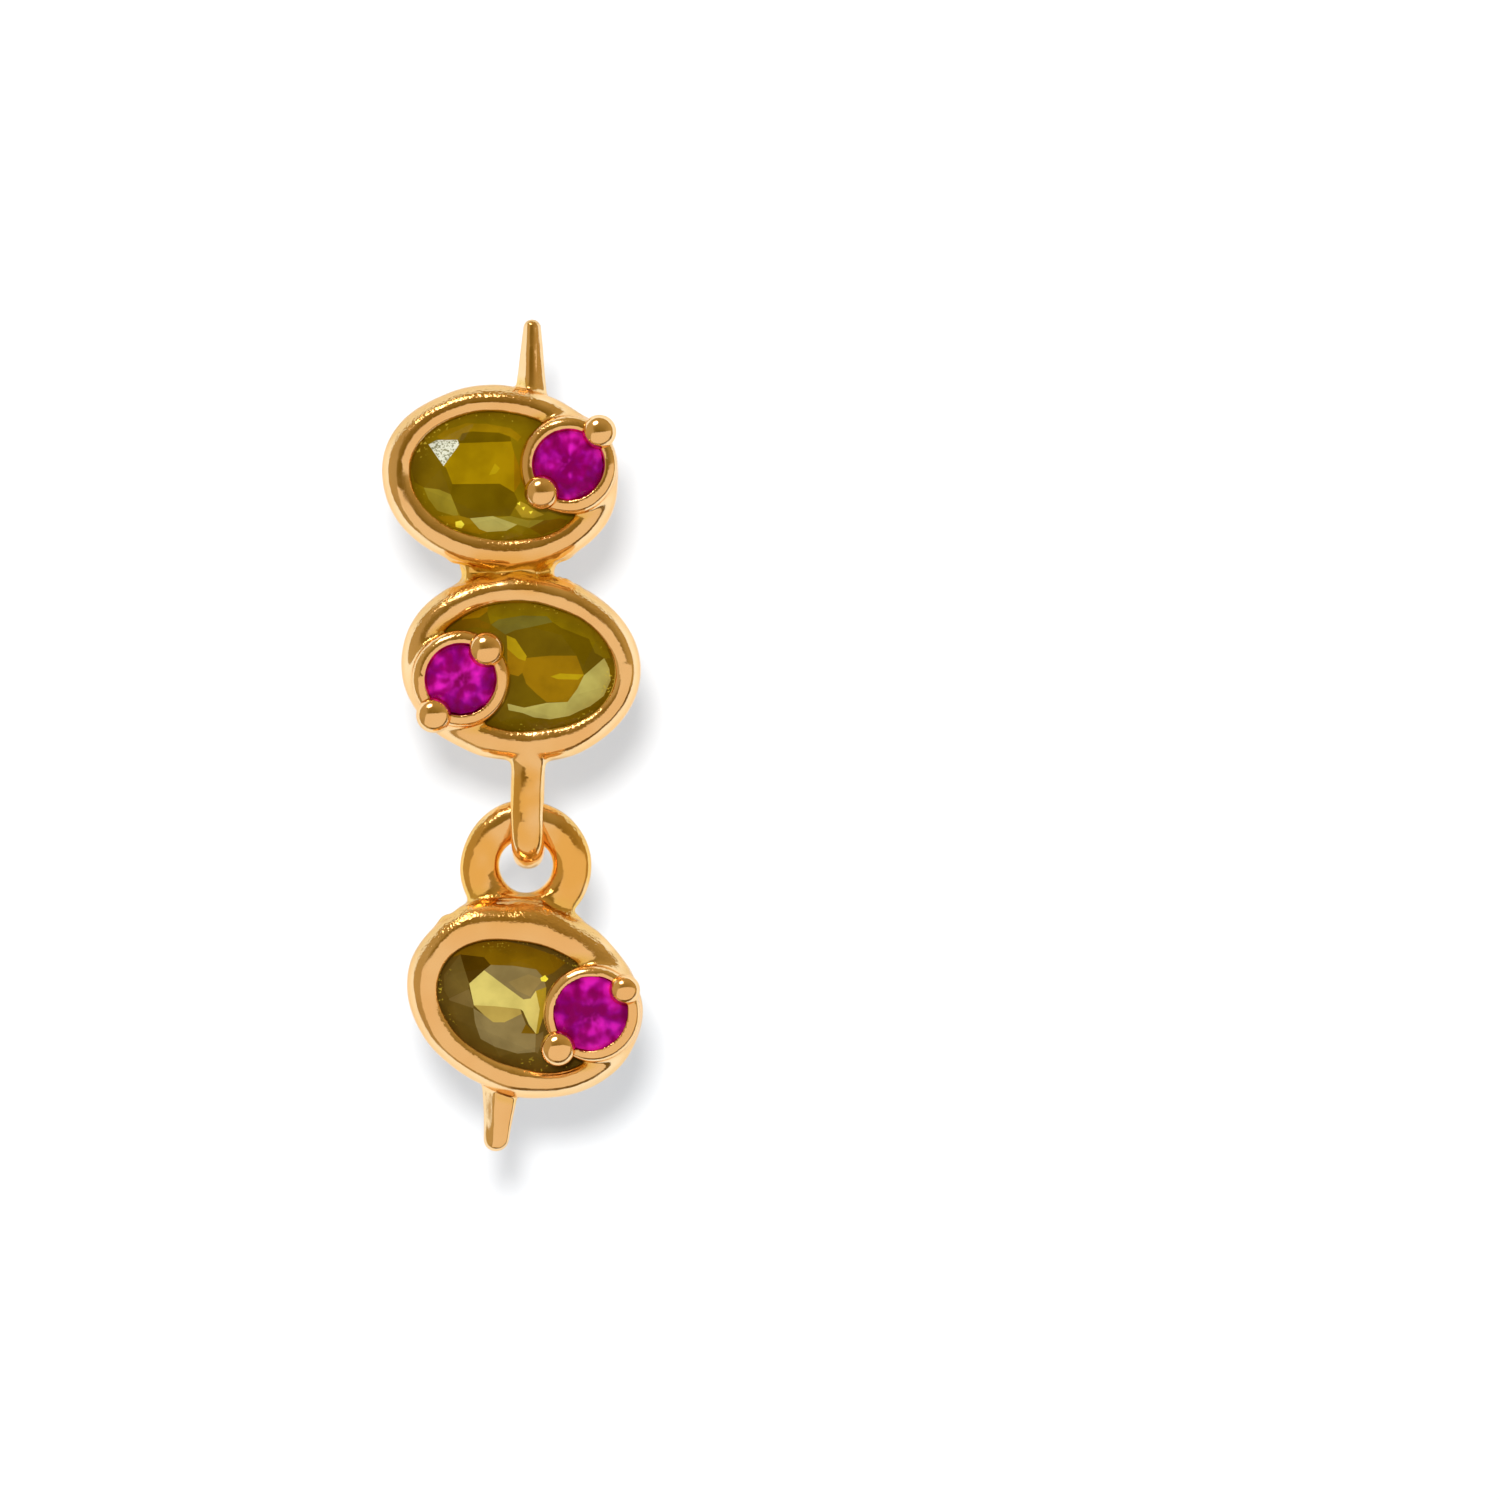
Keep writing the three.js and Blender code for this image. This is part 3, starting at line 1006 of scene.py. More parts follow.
@dataclass
class Ring:
    """The face-on ring soldered on the bottom olive."""

    x: float = 0.758
    z: float = -11.645
    bend: float = 1.382
    half_tube: float = 0.59
    half_depth: float = 0.475

    def field(self, at: Points) -> Array:
        """Distance to the ring."""
        x, y, z = at
        off = np.hypot(x - self.x, z - self.z) - self.bend
        return oval_distance(off, y + MID_DEPTH, self.half_tube, self.half_depth)


@dataclass
class Neck:
    """The waisted neck cast between the top and middle olives."""

    x: float = 0.19
    z: float = -2.83
    half_width: float = 1.27
    half_depth: float = 0.85
    half_height: float = 0.7

    def field(self, at: Points) -> Array:
        """Distance to the neck."""
        x, y, z = at
        across = oval_distance(x - self.x, y + MID_DEPTH, self.half_width, self.half_depth)
        return np.maximum(across, np.abs(z - self.z) - self.half_height)


@dataclass
class Saddle:
    """The run of solder between the ring and the bottom olive."""

    x: float = 0.68
    base_z: float = -13.7
    top_z: float = -12.6
    base_half: float = 1.85
    top_half: float = 1.1
    half_depth: float = 0.72
    thinning: float = 0.35

    def field(self, at: Points) -> Array:
        """Distance to the solder.

        Args:
            at: The points' X, Y and Z.

        Returns:
            The distances, below 0 inside.
        """
        x, y, z = at
        rise = np.clip((z - self.base_z) / (self.top_z - self.base_z), 0, 1)
        half = self.base_half + (self.top_half - self.base_half) * rise
        depth = self.half_depth * (1 - self.thinning * rise)
        reach = np.sqrt(((x - self.x) / half) ** 2 + ((y + MID_DEPTH) / depth) ** 2) + TINY
        across = (reach - 1) * depth
        return np.maximum(across, np.maximum(z - self.top_z, self.base_z - z))


@dataclass(frozen=True)
class RoughPatch:
    """The lumps of a solder joint: waves that die away above and below it and towards the rims in front."""

    seed: int
    height: float
    z: float
    reach: float
    lengths: Pair = (0.4, 0.95)
    front: float = -2.75
    front_span: float = 0.5

    def __call__(self, at: Points) -> Array:
        """Height at points."""
        x, y, z = at
        fade = np.exp(-(((z - self.z) / self.reach) ** 2)) * np.clip((y - self.front) / self.front_span, 0, 1)
        return HandWork(self.seed, self.height, self.lengths)(at) * fade


@dataclass
class Casting:
    """The metal of one body, cast and soldered into one piece."""

    name: str
    grid: Grid
    pick: Pick
    seed: int
    joint: RoughPatch
    warm_spots: tuple[Pair, ...]
    polish_height: float = 0.017
    polish_lengths: Pair = (1.3, 3.4)
    pick_melt: float = 0.14

    def joined(self, at: Points) -> Array:
        """Distance to the parts other than the pick, melted together."""
        raise NotImplementedError

    def trimmed(self, metal: Array, at: Points) -> Array:
        """What is cut from the finished casting: nothing, unless a casting says so."""
        return metal

    def build(self) -> bpy.types.Object:
        """Mesh the casting.

        Returns:
            The metal.
        """
        at = self.grid.axes()
        metal = blend_union(self.joined(at), self.pick.field(at), self.pick_melt)
        metal = metal + HandWork(self.seed, self.polish_height, self.polish_lengths)(at)
        metal += self.joint(at)
        made = skin(self.trimmed(metal, at), self.grid, self.name)
        warmth(made.data, self.warm_spots)
        return made


@dataclass
class UpperMetal(Casting):
    """The stud's metal: top and middle olives, neck, pick and loop."""

    olive_melt: float = 0.12
    neck_melt: float = 0.4
    loop_melt: float = 0.22
    socket_radius: float = 0.5
    socket_depth: float = 0.3

    def joined(self, at: Points) -> Array:
        """Distance to the olives, the neck and the loop.

        Args:
            at: The points' X, Y and Z.

        Returns:
            The distances, below 0 inside.
        """
        metal = blend_union(Setting(TOP_OLIVE).field(at), Setting(MIDDLE_OLIVE).field(at), self.olive_melt)
        metal = blend_union(metal, Neck().field(at), self.neck_melt)
        return blend_union(metal, Loop().field(at), self.loop_melt)

    def trimmed(self, metal: Array, at: Points) -> Array:
        """The metal with the ear post's socket cut out."""
        x, y, z = at
        socket = np.maximum(np.hypot(x, z) - self.socket_radius, -self.socket_depth - y)
        return np.maximum(metal, -socket)


@dataclass
class LowerMetal(Casting):
    """The drop's metal: bottom olive, ring, solder and pick."""

    solder_melt: float = 0.25
    olive_melt: float = 0.2

    def joined(self, at: Points) -> Array:
        """Distance to the olive, the ring and the solder."""
        ring = blend_union(Ring().field(at), Saddle().field(at), self.solder_melt)
        return blend_union(Setting(BOTTOM_OLIVE).field(at), ring, self.olive_melt)


METALS = (
    (Body.STUD, UpperMetal(
        name="upper_metal", grid=Grid((-3.9, -4.1, -12.1), (4.6, 0.35, 5.15), 0.07), seed=7,
        pick=Pick((0.93, 2.2), (0.955, 4.79), 0.53, 0.26, (FiledFace(-57, 0.8), FiledFace(48, 0.87)), 0.02),
        joint=RoughPatch(8, 0.05, -2.83, 0.42), warm_spots=((-2.83, 0.6), (-9.9, 1.6)),
    )),
    (Body.DROP, LowerMetal(
        name="lower_metal", grid=Grid((-3.2, -4.1, -20.6), (4.6, 0.35, -9.4), 0.065), seed=11,
        pick=Pick((-0.02, -18), (-0.13, -20.25), 0.56, 0.4, (FiledFace(22, 0.8), FiledFace(-48, 0.78))),
        joint=RoughPatch(12, 0.025, -13.15, 0.3), warm_spots=((-11.6, 1.8),),
    )),
)


# ---- Oval stones --------------------------------------------------------------------------------


class Tone(Enum):
    """What a facet of an oval stone shows: the stone's green-gold colour with painted light and shade, how bright or
    dark the light coming back through the stone makes each patch.
    """

    DEEP = (0.121, 0.0712, 0.0003)
    MOSS = (0.14, 0.0818, 0.0011)
    FERN = (0.185, 0.117, 0.001)
    UMBER = (0.1008, 0.0571, 0.0064)
    RUSSET = (0.1597, 0.0797, 0.001)
    AMBER = (0.2562, 0.131, 0.0009)
    STRAW = (0.2472, 0.1414, 0.0013)
    HONEY = (0.2374, 0.121, 0.0007)
    CITRON = (0.2768, 0.1641, 0.0008)
    LIT = (0.3416, 0.224, 0.0022)
    SAGE = (0.2472, 0.1795, 0.0117)
    TEAL = (0.1378, 0.1075, 0.012)
    PALE = (0.3774, 0.3119, 0.0728)
    EMBER = (0.0627, 0.0286, 0.0002)
    SLATE = (0.1999, 0.1398, 0.0463)
    SAND = (0.2414, 0.1639, 0.0484)
    SMOKE = (0.1254, 0.0766, 0.0123)
    ASH = (0.1456, 0.0907, 0.0213)
    BRASS = (0.3623, 0.2483, 0.0497)
    OCHRE = (0.312, 0.2016, 0.0097)
    GLOW = (0.5242, 0.4178, 0.1053)
    SPARK = (0.7393, 0.6222, 0.0423)
    FROST = (0.448, 0.4368, 0.3024)


Patch = tuple[Tone, tuple[Pair, ...]]

# Patches of painted light and shade in each stone's own u and v, in mm: the pavilion facets seen through the table, lit
# or dark, and the glints.
TOP_PATCHES: tuple[Patch, ...] = (
    (Tone.MOSS, ((-2.68, 0.01), (-2.66, 0.42), (-2.4, 0.97), (-2.24, 0.78), (-1.74, 0.18), (-1.64, 0.15),
                 (-1.39, -0.33), (-1.41, -0.64), (-1.77, -0.53), (-2.24, -0.52), (-2.55, -0.38))),
    (Tone.STRAW, ((-2.03, 1.04), (-1.8, 1.27), (-1.41, 1.43), (-1.19, 1.54), (-0.55, 1.59), (0.15, 1.54),
                  (0.52, 1.32), (0.42, 1.16), (0.18, 1.28), (-0.18, 1.36), (-0.99, 1.31), (-1.27, 1.22),
                  (-1.39, 1.02), (-1.88, 0.97))),
    (Tone.DEEP, ((-1.35, 0.91), (-1.27, 1.22), (-0.99, 1.31), (-0.18, 1.36), (0.18, 1.28), (0.22, 1.14))),
    (Tone.CITRON, ((-1.35, 0.91), (0.22, 1.14), (0.35, 0.81), (0.48, -0.37), (0.02, -0.16), (-1.39, -0.33),
                   (-1.64, 0.15), (-1.74, 0.18), (-1.37, 0.78))),
    (Tone.LIT, ((-0.19, 0.43), (-0.02, 0.3), (-0.13, 0.13), (-0.33, 0.06), (-0.28, 0.2))),
    (Tone.HONEY, ((0.35, 0.81), (0.57, 0.37), (0.64, -0.03), (0.48, -0.37))),
    (Tone.DEEP, ((-1.39, -0.33), (0.02, -0.16), (0.48, -0.37), (0.62, -0.62), (0.53, -0.86), (0.44, -1.09),
                 (-0.08, -1.15), (-0.76, -1.29), (-1.05, -1.25), (-1.19, -1.05), (-1.41, -0.64))),
    (Tone.SAGE, ((-2.24, -0.52), (-1.77, -0.53), (-1.41, -0.64), (-1.19, -1.05), (-1.11, -1.23), (-1.23, -1.27),
                 (-1.76, -1.17), (-2.06, -0.85))),
    (Tone.PALE, ((-0.76, -1.29), (-0.08, -1.15), (0.07, -1.18), (0.67, -1.32), (0.37, -1.54), (-0.2, -1.64),
                 (-0.44, -1.58))),
    (Tone.SAGE, ((0.07, -1.18), (0.44, -1.09), (0.97, -1.16), (1.46, -1.09), (1.27, -1.27), (1.05, -1.38),
                 (0.67, -1.32))),
    (Tone.STRAW, ((-1.74, -1.33), (-1.11, -1.24), (-0.76, -1.3), (-0.44, -1.59), (-0.2, -1.65), (-0.42, -1.73),
                  (-1.07, -1.67), (-1.49, -1.52))),
    (Tone.SPARK, ((-1.18, -1.44), (-1.01, -1.38), (-0.9, -1.49), (-0.98, -1.62), (-1.16, -1.59))),
    (Tone.OCHRE, ((0.56, -0.83), (0.68, -0.61), (0.92, -0.7), (1.17, -0.83), (1.44, -0.94), (1.14, -1.08),
                  (0.79, -1.09))),
    (Tone.RUSSET, ((1.05, -1.38), (1.46, -1.11), (1.94, -0.99), (2.18, -1.03), (1.97, -1.28), (1.42, -1.55))),
    # Painted reflection of the lamp on the upper-left facet.
    (Tone.FROST, ((-2.24, 0.78), (-2.02, 0.94), (-1.39, 1.01), (-1.32, 0.89), (-1.37, 0.78), (-1.72, 0.18))),
    (Tone.SPARK, ((0.75, -0.8), (0.86, -0.76), (0.82, -0.88))),
    (Tone.SPARK, ((0.98, -0.9), (1.1, -0.86), (1.05, -0.97))),
    (Tone.SPARK, ((0.6, -0.7), (0.69, -0.63), (0.7, -0.74))),
)
MIDDLE_PATCHES: tuple[Patch, ...] = (
    (Tone.RUSSET, ((2.28, -0.93), (1.89, -1.23), (1.36, -1.29), (1, -1.17), (1.04, -1.02), (1.4, -1.05),
                   (1.92, -0.93))),
    (Tone.AMBER, ((1.89, -1.23), (1.8, -1.51), (1.47, -1.74), (1.12, -1.81), (1.15, -1.54), (1.37, -1.34))),
    (Tone.FERN, ((1.12, -1.81), (0.66, -1.92), (-0.23, -1.98), (-0.95, -1.87), (-1.56, -1.7), (-2.13, -1.34),
                 (-2.53, -0.85), (-2.68, -0.51), (-2.47, -0.51), (-2.2, -0.63), (-1.98, -1.03), (-1.13, -1.27),
                 (-0.84, -1.42), (-0.65, -1.58), (0.08, -1.53), (0.78, -1.34), (1, -1.17), (1.15, -1.54))),
    (Tone.TEAL, ((0.98, -1.16), (0.78, -1.34), (0.08, -1.53), (-0.65, -1.58), (-0.84, -1.42), (-0.24, -1.22),
                 (0.25, -1.07), (0.53, -0.91))),
    (Tone.DEEP, ((0.53, -0.91), (0.25, -1.07), (-0.24, -1.22), (-0.84, -1.42), (-1.13, -1.27), (-1.98, -1.03),
                 (-2.2, -0.63), (-2.48, -0.5), (-1.94, 0.07), (-1.66, -0.49), (-0.86, -0.41), (-0.16, -0.27),
                 (0.22, -0.81))),
    (Tone.LIT, ((0.49, -0.89), (0.22, -0.81), (-0.17, -0.33), (-0.15, -0.18), (0.07, -0.23), (0.43, -0.49))),
    (Tone.AMBER, ((0.43, -0.49), (0.07, -0.23), (-0.15, -0.18), (-0.1, 0.05), (-0.09, 0.18), (0.02, 0.3),
                  (0.35, 0.24))),
    (Tone.HONEY, ((-0.16, -0.27), (-0.86, -0.41), (-1.66, -0.49), (-1.94, 0.07), (-1.78, 0.5), (-1.53, 0.92),
                  (-0.91, 0.99), (-0.62, 0.8), (-0.24, 0.5), (-0.09, 0.18), (-0.1, 0.05))),
    (Tone.LIT, ((-0.95, 0.21), (-1.21, 0.09), (-1.94, 0.05), (-1.78, 0.22), (-1.16, 0.27))),
    (Tone.DEEP, ((0.33, 0.51), (0.35, 0.24), (0.02, 0.3), (-0.09, 0.18), (-0.24, 0.5), (-0.62, 0.8), (-0.91, 0.99),
                 (-0.25, 1.21), (0.26, 1.15))),
    (Tone.PALE, ((0.26, 1.15), (-0.25, 1.22), (-0.91, 1.01), (-1.53, 0.92), (-1.96, 1.12), (-1.62, 1.33),
                 (-1.05, 1.49), (-0.57, 1.48), (-0.21, 1.38), (0.21, 1.34))),
    (Tone.PALE, ((-2.49, -0.5), (-2.67, -0.21), (-2.75, 0.14), (-2.59, 0.63), (-2.21, 0.98), (-1.96, 1.12),
                 (-1.53, 0.92), (-1.78, 0.5), (-1.94, 0.08))),
)
BOTTOM_PATCHES: tuple[Patch, ...] = (
    (Tone.RUSSET, ((-2.57, 0.26), (-2.33, 0.72), (-1.83, 1.11), (-1.17, 1.41), (-0.44, 1.53), (0.39, 1.56),
                   (0.78, 1.48), (0.57, 1.1), (0.32, 0.82), (0.03, 0.97), (-0.64, 0.82), (-1.29, 0.59), (-1.56, 0.73),
                   (-2.26, 0.54))),
    (Tone.EMBER, ((-2.26, 0.54), (-1.56, 0.73), (-1.29, 0.59), (-1.41, 0.37), (-1.68, -0.17), (-2.02, 0.24))),
    (Tone.SLATE, ((-1.29, 0.59), (-0.64, 0.82), (0.03, 0.97), (0.34, 0.81), (0.51, 0.58), (0.26, 0.37), (0.2, 0.1),
                  (0.01, -0.01), (-0.61, 0.15), (-1.41, 0.37))),
    (Tone.SAND, ((-0.61, 0.31), (-0.13, 0.75), (0.35, 0.77), (0.23, 0.46), (0.15, 0.14), (-0.26, 0.17))),
    (Tone.SMOKE, ((-2.49, -0.21), (-2.26, 0.54), (-2.02, 0.24), (-1.68, -0.17), (-1.65, -0.33), (-2.09, -0.8),
                  (-2.3, -0.65))),
    (Tone.ASH, ((-2.08, -0.81), (-1.63, -0.32), (-1.32, -0.7), (-1.29, -0.81), (-2.06, -0.88))),
    (Tone.UMBER, ((-2.19, -0.87), (-1.29, -0.81), (-1.09, -1.19), (-0.75, -1.59), (-1.16, -1.63), (-1.76, -1.33))),
    (Tone.SLATE, ((-1.29, -0.81), (-0.92, -0.88), (-0.58, -0.98), (-0.27, -0.86), (0.12, -0.43), (0.35, -0.67),
                  (0.74, -0.83), (0.92, -1.35), (0.44, -1.59), (-0.25, -1.65), (-0.75, -1.59), (-1.09, -1.19))),
    (Tone.BRASS, ((-1.31, -0.72), (-0.7, -0.51), (0.03, -0.31), (0.12, -0.43), (-0.27, -0.86), (-0.58, -0.98),
                  (-0.92, -0.88))),
    (Tone.GLOW, ((-1.68, -0.17), (-1.41, 0.37), (-0.61, 0.15), (0.01, -0.01), (0.13, -0.34), (0.03, -0.31),
                 (-0.7, -0.51), (-1.31, -0.72))),
    (Tone.GLOW, ((0.01, -0.01), (0.2, 0.1), (0.26, 0.37), (0.32, 0.4), (0.57, -0.1), (0.74, -0.83), (0.43, -0.64),
                 (0.13, -0.34))),
    (Tone.OCHRE, ((0.26, 0.37), (0.51, 0.59), (0.73, -0.04), (0.8, -0.79), (0.74, -0.83), (0.57, -0.1))),
    (Tone.RUSSET, ((0.35, -0.67), (0.74, -0.83), (0.32, -0.98))),
    (Tone.SPARK, ((0.24, 0.77), (0.34, 0.91), (0.48, 0.84), (0.43, 0.73), (0.31, 0.7))),
    (Tone.ASH, ((0.76, -0.87), (0.92, -0.68), (1, -0.89), (1.01, -1.36), (0.92, -1.35))),
)


@dataclass
class OvalStone:
    """An oval brilliant: real facets on the crown, and a stored tone for each patch that shows in it, painted light and
    shade on the stone's own colour.
    """

    name: str
    olive: Olive
    patches: tuple[Patch, ...]
    ground: Tone
    turn: float = 0.0
    sides: int = 8
    seat_share: float = 0.17
    table_share: float = 0.62
    star_share: float = 0.84
    table_height: float = 2.65
    girdle_height: float = 2.22
    girdle_foot: float = 1.96
    culet_height: float = 0.62
    culet_share: float = 0.4
    edge_from: float = 0.8
    patch_limit: float = 0.97
    snap: float = 1e-4
    weld: float = 0.002

    def halves(self) -> list[float]:
        """The girdle's half-lengths along u and v."""
        return [half + self.seat_share for half in self.olive.opening]

    def spread(self, share: float, degrees: float) -> Pair:
        """Find a point of the stone.

        Args:
            share: Its share of the way out to the girdle.
            degrees: Its turn.

        Returns:
            Its u and v.
        """
        angle = math.radians(degrees + self.turn)
        halves, centre = self.halves(), self.olive.opening_at
        return centre[0] + share * halves[0] * math.cos(angle), centre[1] + share * halves[1] * math.sin(angle)

    def share_at(self, u: float, v: float) -> float:
        """How far out a point lies: 0 in the middle, 1 at the girdle."""
        halves, centre = self.halves(), self.olive.opening_at
        return math.hypot((u - centre[0]) / halves[0], (v - centre[1]) / halves[1])

    def crown(self) -> tuple[list[Triple], list[tuple[int, ...]]]:
        """Lay out the crown.

        Returns:
            Its corners as u, v and height, and its facets as runs of them.
        """
        step = 360 / self.sides
        drop = self.table_height - self.girdle_height
        reach = self.star_share * math.cos(math.radians(step / 2))
        star_height = self.table_height - drop * (reach - self.table_share) / (1 - self.table_share)
        corners = [(*self.spread(self.table_share, step * k), self.table_height) for k in range(self.sides)]
        corners += [(*self.spread(self.star_share, step * (k + 0.5)), star_height) for k in range(self.sides)]
        corners += [(*self.spread(1.0, step * k / 2), self.girdle_height) for k in range(2 * self.sides)]
        facets = [tuple(range(self.sides))]
        for k in range(self.sides):
            after, star, rim = (k + 1) % self.sides, self.sides + k, 2 * self.sides
            facets.append((k, after, star))
            facets.append((after, self.sides + after, rim + 2 * after, star))
            facets.append((star, rim + 2 * k, rim + 2 * k + 1))
            facets.append((star, rim + 2 * k + 1, rim + (2 * k + 2) % (2 * self.sides)))
        return corners, facets

    def build(self) -> bpy.types.Object:
        """Make the stone.

        Returns:
            The closed stone with its tones.
        """
        corners, facets = self.crown()
        planes = [self.plane(*(np.array(corners[i]) for i in facet[:3])) for facet in facets]
        flat = [corner[:2] for corner in corners]
        edges = [(facet[k], facet[(k + 1) % len(facet)]) for facet in facets for k in range(len(facet))]
        for _, outline in self.patches:
            first = len(flat)
            flat += [self.inside(point) for point in outline]
            edges += [(first + k, first + (k + 1) % len(outline)) for k in range(len(outline))]
        points, _, faces, *_ = delaunay_2d_cdt([Vector(point) for point in flat], edges, [], 0, self.snap)
        tones = [self.tone_at(sum((points[i] for i in face), Vector((0, 0))) / len(face)) for face in faces]
        heights = [min(a * p[0] + b * p[1] + c for a, b, c in planes) for p in points]
        places = [self.place(p[0], p[1], h) for p, h in zip(points, heights)]
        edge = [min(1.0, max(0.0, (self.share_at(*p) - self.edge_from) / (1 - self.edge_from))) for p in points]
        under, rest = self.pavilion(len(places))
        edge += [1.0] * len(under)
        return self.mesh(places + under, [tuple(face) for face in faces] + rest,
                         tones + [self.ground] * len(rest), edge)

    def pavilion(self, base: int) -> tuple[list[Triple], list[tuple[int, ...]]]:
        """Lay out what lies under the crown: the girdle's band, the pavilion and its flat foot.

        Args:
            base: The number of points before the first of these.

        Returns:
            Its points in metres, and its faces.
        """
        count = 2 * self.sides
        rings = ((1.0, self.girdle_height), (1.0, self.girdle_foot), (self.culet_share, self.culet_height))
        places = [self.place(*self.spread(share, 360 / count * k), height)
                  for share, height in rings for k in range(count)]
        faces = []
        for ring in (0, 1):
            upper, lower = base + ring * count, base + (ring + 1) * count
            faces += [(upper + k, upper + (k + 1) % count, lower + (k + 1) % count, lower + k) for k in range(count)]
        faces.append(tuple(base + 2 * count + k for k in range(count)))
        return places, faces

    def mesh(self, places: list[Triple], faces: list[tuple[int, ...]], tones: list[Tone],
             edge: list[float]) -> bpy.types.Object:
        """Join points and faces into a closed mesh that carries its tones.

        Args:
            places: The points, in metres.
            faces: Runs of points.
            tones: One tone for each face.
            edge: How close to the girdle each point lies, up to 1.

        Returns:
            The stone.
        """
        mesh = bpy.data.meshes.new(self.name)
        mesh.from_pydata(places, [], faces)
        shades, frost = [], []
        for face, tone in zip(faces, tones):
            shades += [*tone.value, 1.0] * len(face)
            frost += [1.0 if tone is Tone.FROST else 0.0] * len(face)
        mesh.attributes.new("tone", "FLOAT_COLOR", "CORNER").data.foreach_set("color", shades)
        store(mesh, "frost", frost, "CORNER")
        store(mesh, "edge", edge)
        work = bmesh.new()
        work.from_mesh(mesh)
        bmesh.ops.remove_doubles(work, verts=work.verts, dist=self.weld * MM)
        bmesh.ops.recalc_face_normals(work, faces=work.faces)
        work.to_mesh(mesh)
        work.free()
        return linked(self.name, mesh)

    def place(self, u: float, v: float, height: float) -> Triple:
        """A point in metres in the frame of the solids."""
        x, z = self.olive.world(u, v)
        return x * MM, -height * MM, z * MM

    def inside(self, point: Pair) -> Pair:
        """Keep a patch's corner inside the girdle.

        Args:
            point: The corner's u and v.

        Returns:
            Them, or those of the nearest point inside on its way to the middle.
        """
        pull = min(1.0, self.patch_limit / max(self.share_at(*point), TINY))
        centre = self.olive.opening_at
        return centre[0] + (point[0] - centre[0]) * pull, centre[1] + (point[1] - centre[1]) * pull

    def tone_at(self, point: Vector) -> Tone:
        """Find the tone over a point.

        Args:
            point: Its u and v.

        Returns:
            The tone of the last patch that covers it, or the ground.
        """
        found = self.ground
        for tone, outline in self.patches:
            if self.covers([self.inside(corner) for corner in outline], point):
                found = tone
        return found

    @staticmethod
    def covers(outline: Sequence[Pair], point: Vector) -> bool:
        """Test whether an outline goes round a point.

        Args:
            outline: Its corners in order.
            point: The point.

        Returns:
            Whether it does.
        """
        within = False
        for (ax, ay), (bx, by) in zip(outline, [*outline[1:], outline[0]]):
            if (ay > point[1]) != (by > point[1]) and point[0] < ax + (point[1] - ay) * (bx - ax) / (by - ay):
                within = not within
        return within

    @staticmethod
    def plane(a: Array, b: Array, c: Array) -> Triple:
        """Find the plane through three corners.

        Args:
            a: A corner's u, v and height.
            b: The next corner's.
            c: And the third's.

        Returns:
            What u and v are multiplied by, and what is added, for the height.
        """
        normal = np.cross(b - a, c - a)
        slope = -normal[:2] / normal[2]
        return float(slope[0]), float(slope[1]), float(a[2] - slope @ a[:2])


OVAL_STONES = (
    (Body.STUD, OvalStone("top_olive_gem", TOP_OLIVE, TOP_PATCHES, Tone.FERN, -2.0)),
    (Body.STUD, OvalStone("middle_olive_gem", MIDDLE_OLIVE, MIDDLE_PATCHES, Tone.MOSS, 10.0)),
    (Body.DROP, OvalStone("bottom_olive_gem", BOTTOM_OLIVE, BOTTOM_PATCHES, Tone.UMBER, 20.0)),
)


# ---- Geometry node pieces -----------------------------------------------------------------------


